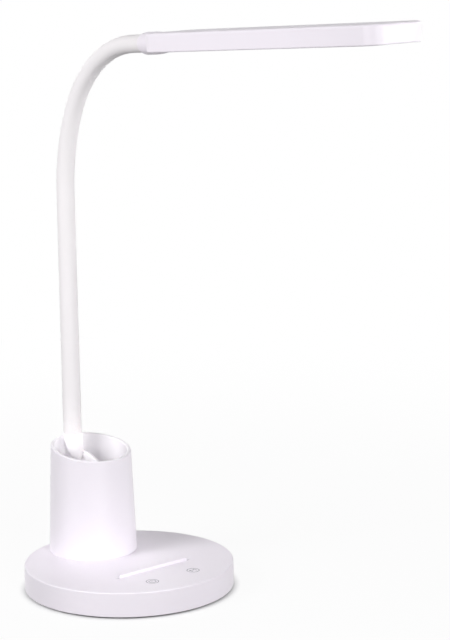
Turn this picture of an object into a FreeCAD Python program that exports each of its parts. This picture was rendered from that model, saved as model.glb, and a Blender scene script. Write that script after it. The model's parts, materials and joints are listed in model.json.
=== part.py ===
"""Desk lamp: a round weighted base with a pen cup and a phone rest, a gooseneck, and a slim light head.

Units are millimetres. +Z is up and the origin is the centre of the base's foot plane. The head reaches
out towards -Y, which is the user's side, and the lamp is symmetrical about the plane X = 0.
"""
import FreeCAD
import Part
import math
import os

# ---- fits -------------------------------------------------------------------------------------------
RUN_GAP = 0.08          # radial running clearance of a ball in its socket
SLIP_GAP = 0.05         # clearance of a piece that slips over or into another
COVER_GAP = 0.15        # clearance of a cover inside its wall
NEAR_GAP = 0.3          # clearance between parts that only pass each other

# ---- base -------------------------------------------------------------------------------------------
BASE_R = 65.0
BASE_TOP_Z = 16.2
FOOT_PROUD = 1.0        # how far the rubber pad holds the base off the desk
BASE_WALL = 2.0
BASE_ROOF = 2.2
BASE_TOP_ROUND = 0.8
BOTTOM_T = 2.6
FOOT_INSET = 5.0        # from the base's edge to the pad's
FOOT_R = BASE_R - FOOT_INSET
FOOT_RECESS = 0.8
PILLAR_R = 3.2
PILLAR_WALL_GAP = 3.8   # from a pillar to the wall's inside
PILLAR_CIRCLE_R = BASE_R - BASE_WALL - PILLAR_WALL_GAP - PILLAR_R
PILLAR_ANGLES = (30, 150, 210, 330)
POST_R = 2.5

# ---- screws (radius of thread, radius of head, head height, length under the head) -------------------
BASE_SCREW = (1.3, 2.4, 0.9, 7.0)
CUP_SCREW = (1.3, 3.4, 1.4, 4.0)
BOARD_SCREW = (1.0, 1.9, 1.0, 4.6)
TANG_SCREW = (1.0, 1.8, 1.1, 5.0)
FRAME_SCREW = (1.0, 1.8, 0.7, 4.5)
LED_SCREW = (0.9, 1.6, 0.8, 2.9)
DRIVE_SHARE = 0.5       # width of a screw's drive recess as a share of its head
DRIVE_DEPTH = 0.6

# ---- ballast, battery and boards in the base ---------------------------------------------------------
TOUCH_X = 16.0
TOUCH_EDGE = 22.0       # from the base's front edge to the touch marks
TOUCH_Y = TOUCH_EDGE - BASE_R
TOUCH_PAD_R = 4.0
BOARD_X = 52.0
BOARD_T = 1.6
BOARD_BEHIND = 15.0     # the board reaches this far behind the touch marks, and this far in front
BOARD_AHEAD = 11.0
BOARD_BACK_Y = TOUCH_Y + BOARD_BEHIND
BOARD_FRONT_Y = TOUCH_Y - BOARD_AHEAD
BOARD_DROP = 3.6        # from the roof's underside down to the board's top
BOARD_BOSS_R = 2.5
BOARD_BOSS_X = BOARD_X / 2 - 4.0
BOARD_BOSS_BACK_Y = BOARD_BACK_Y - 4.0
BOARD_BOSS_FRONT_Y = BOARD_FRONT_Y + 3.5
BOARD_BOSSES = (
    (0.0, BOARD_BOSS_FRONT_Y),
    (BOARD_BOSS_X, BOARD_BOSS_BACK_Y),
    (-BOARD_BOSS_X, BOARD_BOSS_BACK_Y),
)
SIDE_PLUG_X = (BOARD_X / 2 - 5.0, BOARD_X / 2 - 0.5)     # span of the plugs at the board's two ends
SIDE_PLUG_Y = (TOUCH_Y, TOUCH_Y + 6.0)
BACK_PLUG_HALF = 3.0
BACK_PLUG_Y = 4.0
PLUG_H = 3.0
CHIP_HALF = 2.6
CHIP_T = 1.0
CHIP_Y = TOUCH_Y + 3.0
BALLAST_INSET = 4.0     # from the pillars' circle to the ballast's edge
BALLAST_R = PILLAR_CIRCLE_R - BALLAST_INSET
BOARD_SCREW_GAP = 0.2   # from the board's screws down to the ballast
BALLAST_TOP_Z = BASE_TOP_Z - BASE_ROOF - BOARD_DROP - BOARD_T - BOARD_SCREW[2] - BOARD_SCREW_GAP
BALLAST_T = BALLAST_TOP_Z - FOOT_PROUD - BOTTOM_T
BALLAST_NOTCH_HALF = 9.0
BALLAST_NOTCH_RUN = 22.0        # from the base's back edge to the notch's floor
BALLAST_NOTCH_Y = BASE_R - BALLAST_NOTCH_RUN
BATTERY_X = 50.0
BATTERY_T = 5.5
BATTERY_GAP = 0.9       # from the cell to the nearest cup screw
BATTERY_LEAD_RUN = 8.0  # from the cell to the board's back edge
PAD_T = 0.3             # double-sided tape under the battery
ICON_RING_R = 4.0
ICON_LINE = 0.45
ICON_T = 0.06
INLET_W = 8.94
INLET_H = 3.2
INLET_DEPTH = 7.3
INLET_SHELL = 0.3
INLET_TONGUE_W = 6.7
INLET_TONGUE_T = 0.7
INLET_BOARD_X = 14.0
INLET_BOARD_Y = 12.0
INLET_BOARD_T = 1.0
INLET_RAIL_H = 0.4
INLET_Z = FOOT_PROUD + BOTTOM_T + INLET_RAIL_H + INLET_BOARD_T + INLET_H / 2
INLET_PORT_GAP = 0.35
INLET_FACE_SET_BACK = 0.4

# ---- leads inside the base ----------------------------------------------------------------------------
LEAD_FLOOR_Z = BALLAST_TOP_Z + 1.0      # a lead's centre over the ballast
LEAD_SIDE_X = BATTERY_X / 2 + 4.0       # where the leads pass the battery
POST_X = LEAD_SIDE_X + 5.2              # the posts on the ballast stand outside the leads
POST_INSET = 6.0                        # from the ballast's edge to the posts' circle
POST_CIRCLE_R = BALLAST_R - POST_INSET
POST_Y = math.sqrt(POST_CIRCLE_R ** 2 - POST_X ** 2)
LEAD_EXIT_R = 1.8       # bend under the neck's stud
LEAD_WIDE_R = 6.0
LEAD_PLUG_R = 2.2

# ---- phone rest ---------------------------------------------------------------------------------------
REST_BEHIND = 19.0      # from the touch marks back to the bar
REST_Y = TOUCH_Y + REST_BEHIND
REST_HALF = 26.4
REST_T = 1.5
REST_PROUD = 1.9
REST_GROOVE_DEPTH = 1.2
REST_GROOVE_TIP = 3.4   # length of the groove's pointed end past the bar

# ---- pen cup ------------------------------------------------------------------------------------------
CUP_FOOT_R = 27.7
CUP_INSET = 1.0         # from the base's back edge to the cup's foot
CUP_Y = BASE_R - CUP_INSET - CUP_FOOT_R
CUP_RIM_R = 25.2
CUP_WALL = 2.4
CUP_FLOOR = 2.4
CUP_RIM_Z = 82.5        # height of the rim above the cup's centre
CUP_RIM_SLOPE = 0.15    # rise of the rim per millimetre towards the back
CUP_RIM_ROUND = 0.9
CUP_BOSS_R = 3.0
CUP_BOSS_CIRCLE_R = 20.0
CUP_BOSS_ANGLES = (30, 150, 270)
CUP_BOSS_DROP = 2.3
RIB_T = 2.4
RIB_X = 4.4             # the rib runs beside the cup's middle, on the right
RIB_DROP = 6.2          # from the rim's height down to the rib's level top
RIB_FRONT_DROP = 18.2   # and down to the rib's front end
RIB_TOP_Z = CUP_RIM_Z - RIB_DROP
RIB_CREST_Y = CUP_Y + 8.9       # where the rib's top starts to slope
RIB_FRONT_Z = CUP_RIM_Z - RIB_FRONT_DROP
COLLAR_T = 2.1          # wall of the collar round the hose
COLLAR_RISE = 5.7       # from the rim's height up to the collar's top
COLLAR_FRONT_DROP = 9.0 # and down to the collar's lowest point, at its front
COLLAR_TOP_Z = CUP_RIM_Z + COLLAR_RISE
COLLAR_FRONT_Z = CUP_RIM_Z - COLLAR_FRONT_DROP
COLLAR_UNDER_SLOPE = 1.7

# ---- gooseneck ----------------------------------------------------------------------------------------
NECK_STRAIGHT_Z = 241.3  # top of the upright stretch
NECK_BENDS = ((132.0, 22.3), (77.5, 33.3), (67.6, 30.1))  # (radius, turn in degrees) up to the head
NECK_END_RUN = 8.6
HOSE_R = 4.3
COLLAR_R = HOSE_R + COLLAR_T
COLLAR_INSET = 0.2      # from the cup's rim to the collar's side
NECK_Y = CUP_Y + CUP_RIM_R - COLLAR_R - COLLAR_INSET
HOSE_WALL = 1.6
HOSE_BORE_R = 1.2
SLEEVE_ROOT_T = 1.58    # thickness of the sleeve over the hose at its two ends
SLEEVE_HEAD_T = 1.07
SLEEVE_ROOT_R = HOSE_R + SLEEVE_ROOT_T
SLEEVE_HEAD_R = HOSE_R + SLEEVE_HEAD_T
LEAD_R = 0.8
PIVOT_COUNT = 6
FIRST_PIVOT_S = 14.0    # along the neck, from the collar's top
LAST_PIVOT_BACK = 16.0  # along the neck, before the head's ferrule
SOCKET_WALL = 0.8       # from a ball to the hose's outside
BALL_R = HOSE_R - SOCKET_WALL
STEM_R = 1.9
BEND_MAX = 21.0         # the largest turn of any neck joint, in degrees
SOCKET_SKIRT = 1.8      # how far a socket reaches below its ball's centre
ANCHOR_T = 0.7          # how far the stud and its flange stand out past the hose
ANCHOR_FLANGE_OUT = 1.8
ANCHOR_R = HOSE_R + ANCHOR_T
ANCHOR_FLANGE_R = HOSE_R + ANCHOR_FLANGE_OUT
ANCHOR_FLANGE_T = 2.0
ANCHOR_CRIMP_T = 1.1
ANCHOR_CRIMP_H = 5.5
NUT_WALL = 1.5          # from the stud to the nut's flats
NUT_ACROSS_FLATS = 2 * (ANCHOR_R + NUT_WALL)
NUT_T = 3.5
NUT_PAST = 0.5          # length of the stud past its nut

# ---- head (in its own flat frame: -Y to the tip, +Z up, origin where the neck's sleeve ends) ----------
HEAD_TILT = 4.3         # the tip stands this many degrees above level
FERRULE_STEP = 0.23     # the ferrule starts this far outside the sleeve
FERRULE_WALL = 2.4
FERRULE_START_R = SLEEVE_HEAD_R + FERRULE_STEP
FERRULE_R = HOSE_R + FERRULE_WALL
FERRULE_FLARE = 4.5
FERRULE_NOSE_Y = 12.6
FERRULE_NOSE_R = 3.8
KEEL_RUN = 4.4          # how far the ferrule's nose runs on under the slab
SLAB_NEAR = 22.8
SLAB_FAR = 215.7
SLAB_HALF = 20.0
SLAB_CORNER_R = 8.7
SLAB_BOTTOM = -4.7
SLAB_TOP = 6.4
SLAB_EDGE_ROUND = 1.5
SLAB_FOOT_ROUND = 0.9   # of the slab's lower edge
HEAD_WALL = 1.8
HEAD_ROOF = 1.6
FRAME_T = 1.5
FRAME_LIP_T = 1.2
FRAME_LIP_H = 2.4
WINDOW_NEAR = 56.8
WINDOW_END_RIM = 5.0    # width of the frame at the tip and at each side
WINDOW_SIDE_RIM = 4.5
WINDOW_FAR = SLAB_FAR - WINDOW_END_RIM
WINDOW_HALF = SLAB_HALF - WINDOW_SIDE_RIM
WINDOW_CORNER_R = 4.5
DIFFUSER_T = 2.4
DIFFUSER_LEDGE = 1.1
TANG_NECK_HALF = 3.0
TANG_NECK_Z = (-2.0, 3.0)
TANG_HALF = 6.4
TANG_Z = (-1.0, 2.0)
TANG_START = 27.8
TANG_END = 43.8
TANG_SCREW_AT = (3.8, 36.8)
TANG_BOSS_R = 2.2
FRAME_SCREW_AT = (SLAB_HALF - 7.5, 36.8)
LED_BOARD_T = 1.0
LED_BOARD_GAP = 1.1     # roof's underside to the board
REFLECTOR_T = 0.5
REFLECTOR_END_GAP = 1.5 # from the window's ends to the reflector
REFLECTOR_NEAR = WINDOW_NEAR + REFLECTOR_END_GAP
REFLECTOR_FAR = WINDOW_FAR - REFLECTOR_END_GAP
REFLECTOR_HALF = WINDOW_HALF - NEAR_GAP
REFLECTOR_CORNER_R = WINDOW_CORNER_R - REFLECTOR_T
REFLECTOR_HOLE = 0.4    # clearance round each LED
LED_BOARD_INSET = 1.7   # from the reflector's sides to the board's
LED_BOARD_AHEAD = 4.0   # the board starts this far before the window and stops this far short of its end
LED_BOARD_SHORT = 2.9
LED_BOARD_HALF = REFLECTOR_HALF - LED_BOARD_INSET
LED_BOARD_NEAR = WINDOW_NEAR - LED_BOARD_AHEAD
LED_BOARD_FAR = WINDOW_FAR - LED_BOARD_SHORT
LED_X = 2.8
LED_Y = 3.5
LED_T = 0.8
LED_ROWS = 3
LED_SIDE_MARGIN = 3.1   # from the board's sides to the outer LED rows
LED_ROW_PITCH = LED_BOARD_HALF - LED_X / 2 - LED_SIDE_MARGIN
LED_COLUMN_PITCH = 12.4
LED_NEAR_MARGIN = 11.8  # from the board's near end, which takes the lead, to the first LED column
LED_FAR_MARGIN = 6.8    # from the farthest LED column to the board's far end
LED_NEAR = LED_BOARD_NEAR + LED_NEAR_MARGIN
LED_FAR = LED_BOARD_FAR - LED_FAR_MARGIN
STANDOFF_R = 2.2
STANDOFF_COLUMNS = 5    # LED columns from one standoff to the next
HEAD_LEAD_END = ((50.8, 0.7), (55.3, 1.8))  # (distance along, height) where the lead climbs to the LED board

UP = FreeCAD.Vector(0, 0, 1)
ACROSS = FreeCAD.Vector(1, 0, 0)


# ---- small building functions -------------------------------------------------------------------------
def vec(x, y, z):
    """A point or direction."""
    return FreeCAD.Vector(x, y, z)


def box(x0, x1, y0, y1, z0, z1):
    """A block between two corners."""
    return Part.makeBox(x1 - x0, y1 - y0, z1 - z0, vec(x0, y0, z0))


def cylinder(r, z0, z1, x=0.0, y=0.0):
    """An upright cylinder."""
    return Part.makeCylinder(r, z1 - z0, vec(x, y, z0))


def on_circle(radius, degrees, x=0.0, y=0.0):
    """The plan position at an angle on a circle."""
    turn = math.radians(degrees)
    return x + radius * math.cos(turn), y + radius * math.sin(turn)


def union(shapes):
    """All the shapes as one solid."""
    first = shapes[0]
    return first.fuse(shapes[1:]).removeSplitter() if len(shapes) > 1 else first


def less(shape, tools):
    """The shape with every tool cut out of it."""
    return shape.cut(tools)


def upright_edges(shape):
    """The straight edges that run along Z."""
    found = []
    for edge in shape.Edges:
        run = edge.Vertexes[-1].Point - edge.Vertexes[0].Point
        if abs(run.z) > 1e-6 and math.hypot(run.x, run.y) < 1e-6:
            found.append(edge)
    return found


def plate(x_half, y0, y1, corner_r, z0, z1):
    """A flat plate, centred on X = 0, with round corners in plan."""
    block = box(-x_half, x_half, y0, y1, z0, z1)
    return block.makeFillet(corner_r, upright_edges(block))


def edges_at_height(shape, z):
    """The edges that lie wholly in one level plane."""
    return [e for e in shape.Edges if abs(e.BoundBox.ZMin - z) < 1e-6 and abs(e.BoundBox.ZMax - z) < 1e-6]


def slot_bar(width, height, y0, y1, z_mid):
    """A bar along Y with a stadium section, as an inlet has."""
    half = (width - height) / 2
    middle = box(-half, half, y0, y1, z_mid - height / 2, z_mid + height / 2)
    ends = [Part.makeCylinder(height / 2, y1 - y0, vec(x, y0, z_mid), vec(0, 1, 0)) for x in (-half, half)]
    return union([middle] + ends)


def screw(size, x, y, z_seat, upwards=True):
    """A pan-head screw whose head seats at z_seat; upwards means that its thread points to +Z."""
    thread_r, head_r, head_h, length = size
    shank = cylinder(thread_r, 0, length)
    head = cylinder(head_r, -head_h, 0)
    recess = box(-head_r * DRIVE_SHARE, head_r * DRIVE_SHARE, -0.3, 0.3, -head_h, -head_h + DRIVE_DEPTH)
    cross = recess.copy()
    cross.rotate(vec(0, 0, 0), UP, 90)
    body = less(union([shank, head]), [recess, cross])
    if not upwards:
        body.rotate(vec(0, 0, 0), ACROSS, 180)
    body.translate(vec(x, y, z_seat))
    return body


def pilot(size, x, y, z_seat, upwards=True):
    """The blind hole that a screw's thread fills, a little deeper than the screw."""
    thread_r, _, _, length = size
    reach = length + NEAR_GAP
    z0, z1 = (z_seat, z_seat + reach) if upwards else (z_seat - reach, z_seat)
    return cylinder(thread_r, z0, z1, x, y)


def rounded_path(points, radii):
    """Straight runs through the points, joined at each inner point by a tangent arc of the given radius."""
    edges = []
    start = points[0]
    for before, corner, after, radius in zip(points, points[1:], points[2:], radii):
        into = corner - before
        out = after - corner
        into.normalize()
        out.normalize()
        turn = into.getAngle(out)
        cut = radius * math.tan(turn / 2)
        first = corner - into * cut
        last = corner + out * cut
        inwards = out - into
        inwards.normalize()
        centre = corner + inwards * math.hypot(cut, radius)
        middle = centre - inwards * radius
        edges.append(Part.LineSegment(start, first).toShape())
        edges.append(Part.Arc(first, middle, last).toShape())
        start = last
    edges.append(Part.LineSegment(start, points[-1]).toShape())
    return Part.Wire(edges)


def swept(path, radius):
    """A round bar along a path."""
    edge = path.OrderedEdges[0]
    first = edge.ParameterRange[0]
    ring = Part.Wire(Part.makeCircle(radius, edge.valueAt(first), edge.tangentAt(first)))
    pipe = path.makePipeShell([ring], True, False)
    return Part.Solid(pipe) if pipe.ShapeType == "Shell" else pipe


def save(name, solids):
    """Write one node: a single solid, or a group of separate ones."""
    shape = solids if isinstance(solids, Part.Shape) else Part.makeCompound(solids)
    bad = [s for s in shape.Solids if not s.isValid() or s.Volume <= 0]
    print(f"{name}: {len(shape.Solids)} solid(s), {shape.Volume:.1f} mm3, {'BAD' if bad else 'valid'}")
    shape.exportStep(f"parts/{name}.step")


# ---- the neck's centre line ---------------------------------------------------------------------------
def neck_stretches():
    """The neck's stretches as (length, radius), where a straight one has no radius."""
    stretches = [(NECK_STRAIGHT_Z - COLLAR_TOP_Z, None)]
    stretches += [(radius * math.radians(turn), radius) for radius, turn in NECK_BENDS]
    stretches.append((NECK_END_RUN, None))
    return stretches


NECK_LENGTH = sum(length for length, _ in neck_stretches())


def neck_station(s):
    """The point at a length s along the neck above the collar, and the neck's direction there."""
    y, z, lean = NECK_Y, COLLAR_TOP_Z, 0.0
    left = s
    for index, (length, radius) in enumerate(neck_stretches()):
        last = index == len(NECK_BENDS) + 1
        run = left if last or left < length else length
        if radius is None:
            y -= run * math.sin(lean)
            z += run * math.cos(lean)
        else:
            turn = run / radius
            y -= radius * (math.cos(lean) - math.cos(lean + turn))
            z += radius * (math.sin(lean + turn) - math.sin(lean))
            lean += turn
        left -= run
        if left <= 0 and not last:
            break
    return vec(0, y, z), vec(0, -math.sin(lean), math.cos(lean))


def neck_path(s0, s1):
    """The neck's centre line between two lengths, as lines and arcs."""
    joints = [0.0]
    for length, _ in neck_stretches():
        joints.append(joints[-1] + length)
    marks = [s0] + [j for j in joints[1:-1] if s0 + 1e-3 < j < s1 - 1e-3] + [s1]
    edges = []
    for a, b in zip(marks, marks[1:]):
        start, heading = neck_station(a)
        middle, _ = neck_station((a + b) / 2)
        end, far_heading = neck_station(b)
        if heading.getAngle(far_heading) < 1e-6:
            edges.append(Part.LineSegment(start, end).toShape())
        else:
            edges.append(Part.Arc(start, middle, end).toShape())
    return Part.Wire(edges)


def neck_bar(s0, s1, radius):
    """A round bar that follows the neck."""
    return swept(neck_path(s0, s1), radius)


def pivots():
    """The lengths along the neck at which it bends."""
    last = NECK_LENGTH - LAST_PIVOT_BACK
    step = (last - FIRST_PIVOT_S) / (PIVOT_COUNT - 1)
    return [FIRST_PIVOT_S + step * i for i in range(PIVOT_COUNT)]


def at_pivot(shape, s):
    """The shape, built about the origin with +Z along the neck, moved to a pivot."""
    point, heading = neck_station(s)
    turn = FreeCAD.Rotation(UP, heading)
    shape.Placement = FreeCAD.Placement(point, turn).multiply(shape.Placement)
    return shape


# ---- gooseneck pieces ---------------------------------------------------------------------------------
def sleeve_r(s):
    """The sleeve's outer radius at a length along the neck."""
    share = min(max(s / NECK_LENGTH, 0.0), 1.0)
    return SLEEVE_ROOT_R + (SLEEVE_HEAD_R - SLEEVE_ROOT_R) * share


def link_end_gap():
    """How far below a pivot the lower link ends, so that the upper link's skirt can swing over it."""
    bend = math.radians(BEND_MAX)
    return SOCKET_SKIRT * math.cos(bend) + SLEEVE_ROOT_R * math.sin(bend) + NEAR_GAP


def ball_end(s):
    """The stem and ball at a link's upper end."""
    stem = cylinder(STEM_R, -link_end_gap() - 1.0, 0)
    return at_pivot(union([stem, Part.makeSphere(BALL_R)]), s)


def ball_bore(s):
    """The lead's way through a ball, flared above its centre so that the lead can swing."""
    bend = math.radians(BEND_MAX)
    mouth = HOSE_BORE_R + BALL_R * math.tan(bend)
    flare = Part.makeCone(HOSE_BORE_R, mouth, BALL_R)
    return at_pivot(flare, s)


def socket_hollow(s):
    """The hollow that a ball turns in, open at its lower side for the stem."""
    return at_pivot(Part.makeSphere(BALL_R + RUN_GAP), s)


def hose(s0, s1, socket, ball):
    """One rigid length of the metal hose, with a socket below and a ball above where it has them."""
    start = s0 - SOCKET_SKIRT if socket else s0
    end = s1 - link_end_gap() if ball else s1
    body = neck_bar(start, end, HOSE_R)
    if ball:
        body = union([body, ball_end(s1)])
    cuts = [neck_bar(start - 1.0, s1 + (0.5 if ball else 1.0), HOSE_BORE_R)]
    hollow_start = s0 + BALL_R + HOSE_WALL if socket else start - 1.0
    hollow_end = end - HOSE_WALL if ball else end + 1.0
    cuts.append(neck_bar(hollow_start, hollow_end, HOSE_R - HOSE_WALL))
    if socket:
        cuts.append(socket_hollow(s0))
    if ball:
        cuts.append(ball_bore(s1))
    return less(body, cuts)


def sleeve(s0, s1, radius, socket, ball):
    """The silicone sleeve over one length of hose."""
    start = s0 - SOCKET_SKIRT if socket else s0
    end = s1 - link_end_gap() if ball else s1
    return less(neck_bar(start, end, radius), [neck_bar(start - 1.0, end + 1.0, HOSE_R + SLIP_GAP)])


def lead_end(s):
    """The round end of a length of lead."""
    point, _ = neck_station(s)
    return Part.makeSphere(LEAD_R, point)


def lead(s0, s1, low_end, high_end):
    """The lamp lead in one length of hose, round where it meets the next length at a pivot."""
    inset = LEAD_R + SLIP_GAP
    start = s0 + inset if low_end else s0
    end = s1 - inset if high_end else s1
    pieces = [neck_bar(start, end, LEAD_R)]
    if low_end:
        pieces.append(lead_end(start))
    if high_end:
        pieces.append(lead_end(end))
    return union(pieces)


def anchor():
    """The threaded stud that clamps the neck, with a flange and a crimped cup for the hose."""
    floor_z = BASE_TOP_Z + CUP_FLOOR
    foot_z = BASE_TOP_Z - BASE_ROOF - NUT_T - NUT_PAST
    flange_top = floor_z + ANCHOR_FLANGE_T
    stud = cylinder(ANCHOR_R, foot_z, floor_z, 0, NECK_Y)
    flange = cylinder(ANCHOR_FLANGE_R, floor_z, flange_top, 0, NECK_Y)
    crimp = cylinder(HOSE_R + ANCHOR_CRIMP_T, flange_top, flange_top + ANCHOR_CRIMP_H, 0, NECK_Y)
    bore = cylinder(HOSE_BORE_R, foot_z, flange_top, 0, NECK_Y)
    seat = cylinder(HOSE_R + SLIP_GAP, flange_top, flange_top + ANCHOR_CRIMP_H, 0, NECK_Y)
    return less(union([stud, flange, crimp]), [bore, seat])


def nut():
    """The hexagon nut under the base's roof."""
    corner_r = NUT_ACROSS_FLATS / math.sqrt(3)
    roof_z = BASE_TOP_Z - BASE_ROOF
    corners = [vec(*on_circle(corner_r, 60 * i, 0, NECK_Y), roof_z - NUT_T) for i in range(6)]
    body = Part.Face(Part.makePolygon(corners + corners[:1])).extrude(vec(0, 0, NUT_T))
    return less(body, [cylinder(ANCHOR_R + SLIP_GAP, roof_z - NUT_T, roof_z, 0, NECK_Y)])


def neck_parts():
    """Every length of hose, sleeve and lead, with the stud and nut at the bottom."""
    marks = pivots()
    flange_top = BASE_TOP_Z + CUP_FLOOR + ANCHOR_FLANGE_T
    hose_start = flange_top - COLLAR_TOP_Z
    parts = {"neck_anchor": anchor(), "neck_nut": nut()}
    parts["hose_root"] = hose(hose_start, marks[0], False, True)
    parts["sleeve_root"] = sleeve(0.0, marks[0], sleeve_r(0.0), False, True)
    for index, (a, b) in enumerate(zip(marks, marks[1:]), start=1):
        parts[f"hose_link_{index}"] = hose(a, b, True, True)
        parts[f"sleeve_link_{index}"] = sleeve(a, b, sleeve_r((a + b) / 2), True, True)
        parts[f"lead_link_{index}"] = lead(a, b, True, True)
    tail = NECK_LENGTH + FERRULE_NOSE_Y
    parts["hose_head"] = hose(marks[-1], tail, True, False)
    parts["sleeve_head"] = sleeve(marks[-1], NECK_LENGTH, SLEEVE_HEAD_R, True, False)
    return parts


# ---- base pieces --------------------------------------------------------------------------------------
def touch_centres():
    """The two touch marks, as plan positions."""
    return [(-TOUCH_X, TOUCH_Y), (TOUCH_X, TOUCH_Y)]


def groove(z0, z1, widen):
    """The phone rest's groove: straight sides, with a point at each end."""
    half_t = REST_T / 2 + widen
    straight = REST_HALF + widen
    tip = straight + REST_GROOVE_TIP
    front = [(-tip, 0), (-straight, -half_t), (straight, -half_t)]
    plan = front + [(-x, -y) for x, y in front]
    corners = [vec(x, REST_Y + y, z0) for x, y in plan]
    return Part.Face(Part.makePolygon(corners + corners[:1])).extrude(vec(0, 0, z1 - z0))


def base_cover():
    """The base's top cover: a shallow round tub, open below, with its pillars, posts and bosses."""
    roof_z = BASE_TOP_Z - BASE_ROOF
    shell = cylinder(BASE_R, FOOT_PROUD, BASE_TOP_Z)
    shell = shell.makeFillet(BASE_TOP_ROUND, edges_at_height(shell, BASE_TOP_Z))
    shell = less(shell, [cylinder(BASE_R - BASE_WALL, FOOT_PROUD, roof_z)])
    pillar_foot = FOOT_PROUD + BOTTOM_T
    solids = [shell]
    cuts = []
    for degrees in PILLAR_ANGLES:
        x, y = on_circle(PILLAR_CIRCLE_R, degrees)
        solids.append(cylinder(PILLAR_R, pillar_foot, roof_z, x, y))
        cuts.append(pilot(BASE_SCREW, x, y, base_screw_seat()))
    for x, y in ((POST_X, POST_Y), (-POST_X, POST_Y), (-POST_X, -POST_Y), (POST_X, -POST_Y)):
        solids.append(cylinder(POST_R, BALLAST_TOP_Z, roof_z, x, y))
    for x, y in BOARD_BOSSES:
        solids.append(cylinder(BOARD_BOSS_R, roof_z - BOARD_DROP, roof_z, x, y))
        cuts.append(pilot(BOARD_SCREW, x, y, roof_z - BOARD_DROP - BOARD_T))
    for degrees in CUP_BOSS_ANGLES:
        x, y = on_circle(CUP_BOSS_CIRCLE_R, degrees, 0, CUP_Y)
        cuts.append(cylinder(CUP_BOSS_R + SLIP_GAP, roof_z, BASE_TOP_Z, x, y))
    cuts.append(cylinder(ANCHOR_R + SLIP_GAP, roof_z, BASE_TOP_Z, 0, NECK_Y))
    cuts.append(groove(BASE_TOP_Z - REST_GROOVE_DEPTH, BASE_TOP_Z, SLIP_GAP))
    port_w = INLET_W + 2 * INLET_PORT_GAP
    port_h = INLET_H + 2 * INLET_PORT_GAP
    cuts.append(slot_bar(port_w, port_h, BASE_R - 2 * BASE_WALL, BASE_R, INLET_Z))
    return less(union(solids), cuts)


def base_screw_seat():
    """The height at which a base screw's head seats in the bottom cover, above the pad's recess."""
    return FOOT_PROUD + FOOT_RECESS + BASE_SCREW[2]


def bottom_cover():
    """The flat cover under the base, with a recess for the rubber pad and counterbores for its screws."""
    top = FOOT_PROUD + BOTTOM_T
    disc = cylinder(BASE_R - BASE_WALL - COVER_GAP, FOOT_PROUD, top)
    cuts = [cylinder(FOOT_R + SLIP_GAP, FOOT_PROUD, FOOT_PROUD + FOOT_RECESS)]
    for degrees in PILLAR_ANGLES:
        x, y = on_circle(PILLAR_CIRCLE_R, degrees)
        cuts.append(cylinder(BASE_SCREW[1] + SLIP_GAP, FOOT_PROUD, base_screw_seat(), x, y))
        cuts.append(cylinder(BASE_SCREW[0] + SLIP_GAP, FOOT_PROUD, top, x, y))
    rail_top = INLET_Z - INLET_H / 2 - INLET_BOARD_T
    rails = []
    for side in (-1, 1):
        x = side * (INLET_BOARD_X / 2 - 1.0)
        front = inlet_board_back() - INLET_BOARD_Y
        rails.append(box(x - 1.0, x + 1.0, front, inlet_board_back(), top, rail_top))
    return union([less(disc, cuts)] + rails)


def inlet_board_back():
    """The inlet board's edge nearest the wall, inside the wall at the board's corners."""
    reach = math.sqrt((BASE_R - BASE_WALL) ** 2 - (INLET_BOARD_X / 2) ** 2)
    return reach - NEAR_GAP


def ballast():
    """The steel weight: a disc with a notch at the back for the inlet and holes at the board screws."""
    z0 = FOOT_PROUD + BOTTOM_T
    disc = cylinder(BALLAST_R, z0, z0 + BALLAST_T)
    notch = box(-BALLAST_NOTCH_HALF, BALLAST_NOTCH_HALF, BALLAST_NOTCH_Y, BALLAST_R, z0, z0 + BALLAST_T)
    bites = []
    for degrees in PILLAR_ANGLES:
        x, y = on_circle(PILLAR_CIRCLE_R, degrees)
        bites.append(cylinder(PILLAR_R + NEAR_GAP, z0, z0 + BALLAST_T, x, y))
    return less(disc, [notch] + bites)


def battery_span():
    """The cell's front and back: it fills the space between the control board and the cup's front screw."""
    front = BOARD_BACK_Y + BATTERY_LEAD_RUN
    back = CUP_Y - CUP_BOSS_CIRCLE_R - CUP_SCREW[1] - BATTERY_GAP
    return front, back


def battery():
    """The flat lithium cell, with rounded long edges."""
    z0 = BALLAST_TOP_Z + PAD_T
    front, back = battery_span()
    cell = plate(BATTERY_X / 2, front, back, 2.0, z0, z0 + BATTERY_T)
    return cell.makeFillet(1.2, edges_at_height(cell, z0 + BATTERY_T))


def battery_tape():
    """The tape that holds the cell on the ballast."""
    inset = 4.0
    half = BATTERY_X / 2 - inset
    front, back = battery_span()
    return box(-half, half, front + inset, back - inset, BALLAST_TOP_Z, BALLAST_TOP_Z + PAD_T)


def control_board():
    """The printed board under the touch marks."""
    top = BASE_TOP_Z - BASE_ROOF - BOARD_DROP
    blank = plate(BOARD_X / 2, BOARD_FRONT_Y, BOARD_BACK_Y, 3.0, top - BOARD_T, top)
    holes = [cylinder(BOARD_SCREW[0] + SLIP_GAP, top - BOARD_T, top, x, y) for x, y in BOARD_BOSSES]
    return less(blank, holes)


def board_parts():
    """The plugs and the chip on the control board."""
    top = BASE_TOP_Z - BASE_ROOF - BOARD_DROP
    x0, x1 = SIDE_PLUG_X
    y0, y1 = SIDE_PLUG_Y
    plug_top = top + PLUG_H
    right = box(x0, x1, y0, y1, top, plug_top)
    left = box(-x1, -x0, y0, y1, top, plug_top)
    back = box(-BACK_PLUG_HALF, BACK_PLUG_HALF, BOARD_BACK_Y - BACK_PLUG_Y, BOARD_BACK_Y, top, plug_top)
    chip = box(-CHIP_HALF, CHIP_HALF, CHIP_Y - CHIP_HALF, CHIP_Y + CHIP_HALF, top, top + CHIP_T)
    return [right, left, back, chip]


def plug_z():
    """The height of the leads where they enter their plugs."""
    return BASE_TOP_Z - BASE_ROOF - BOARD_DROP + PLUG_H / 2


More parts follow.
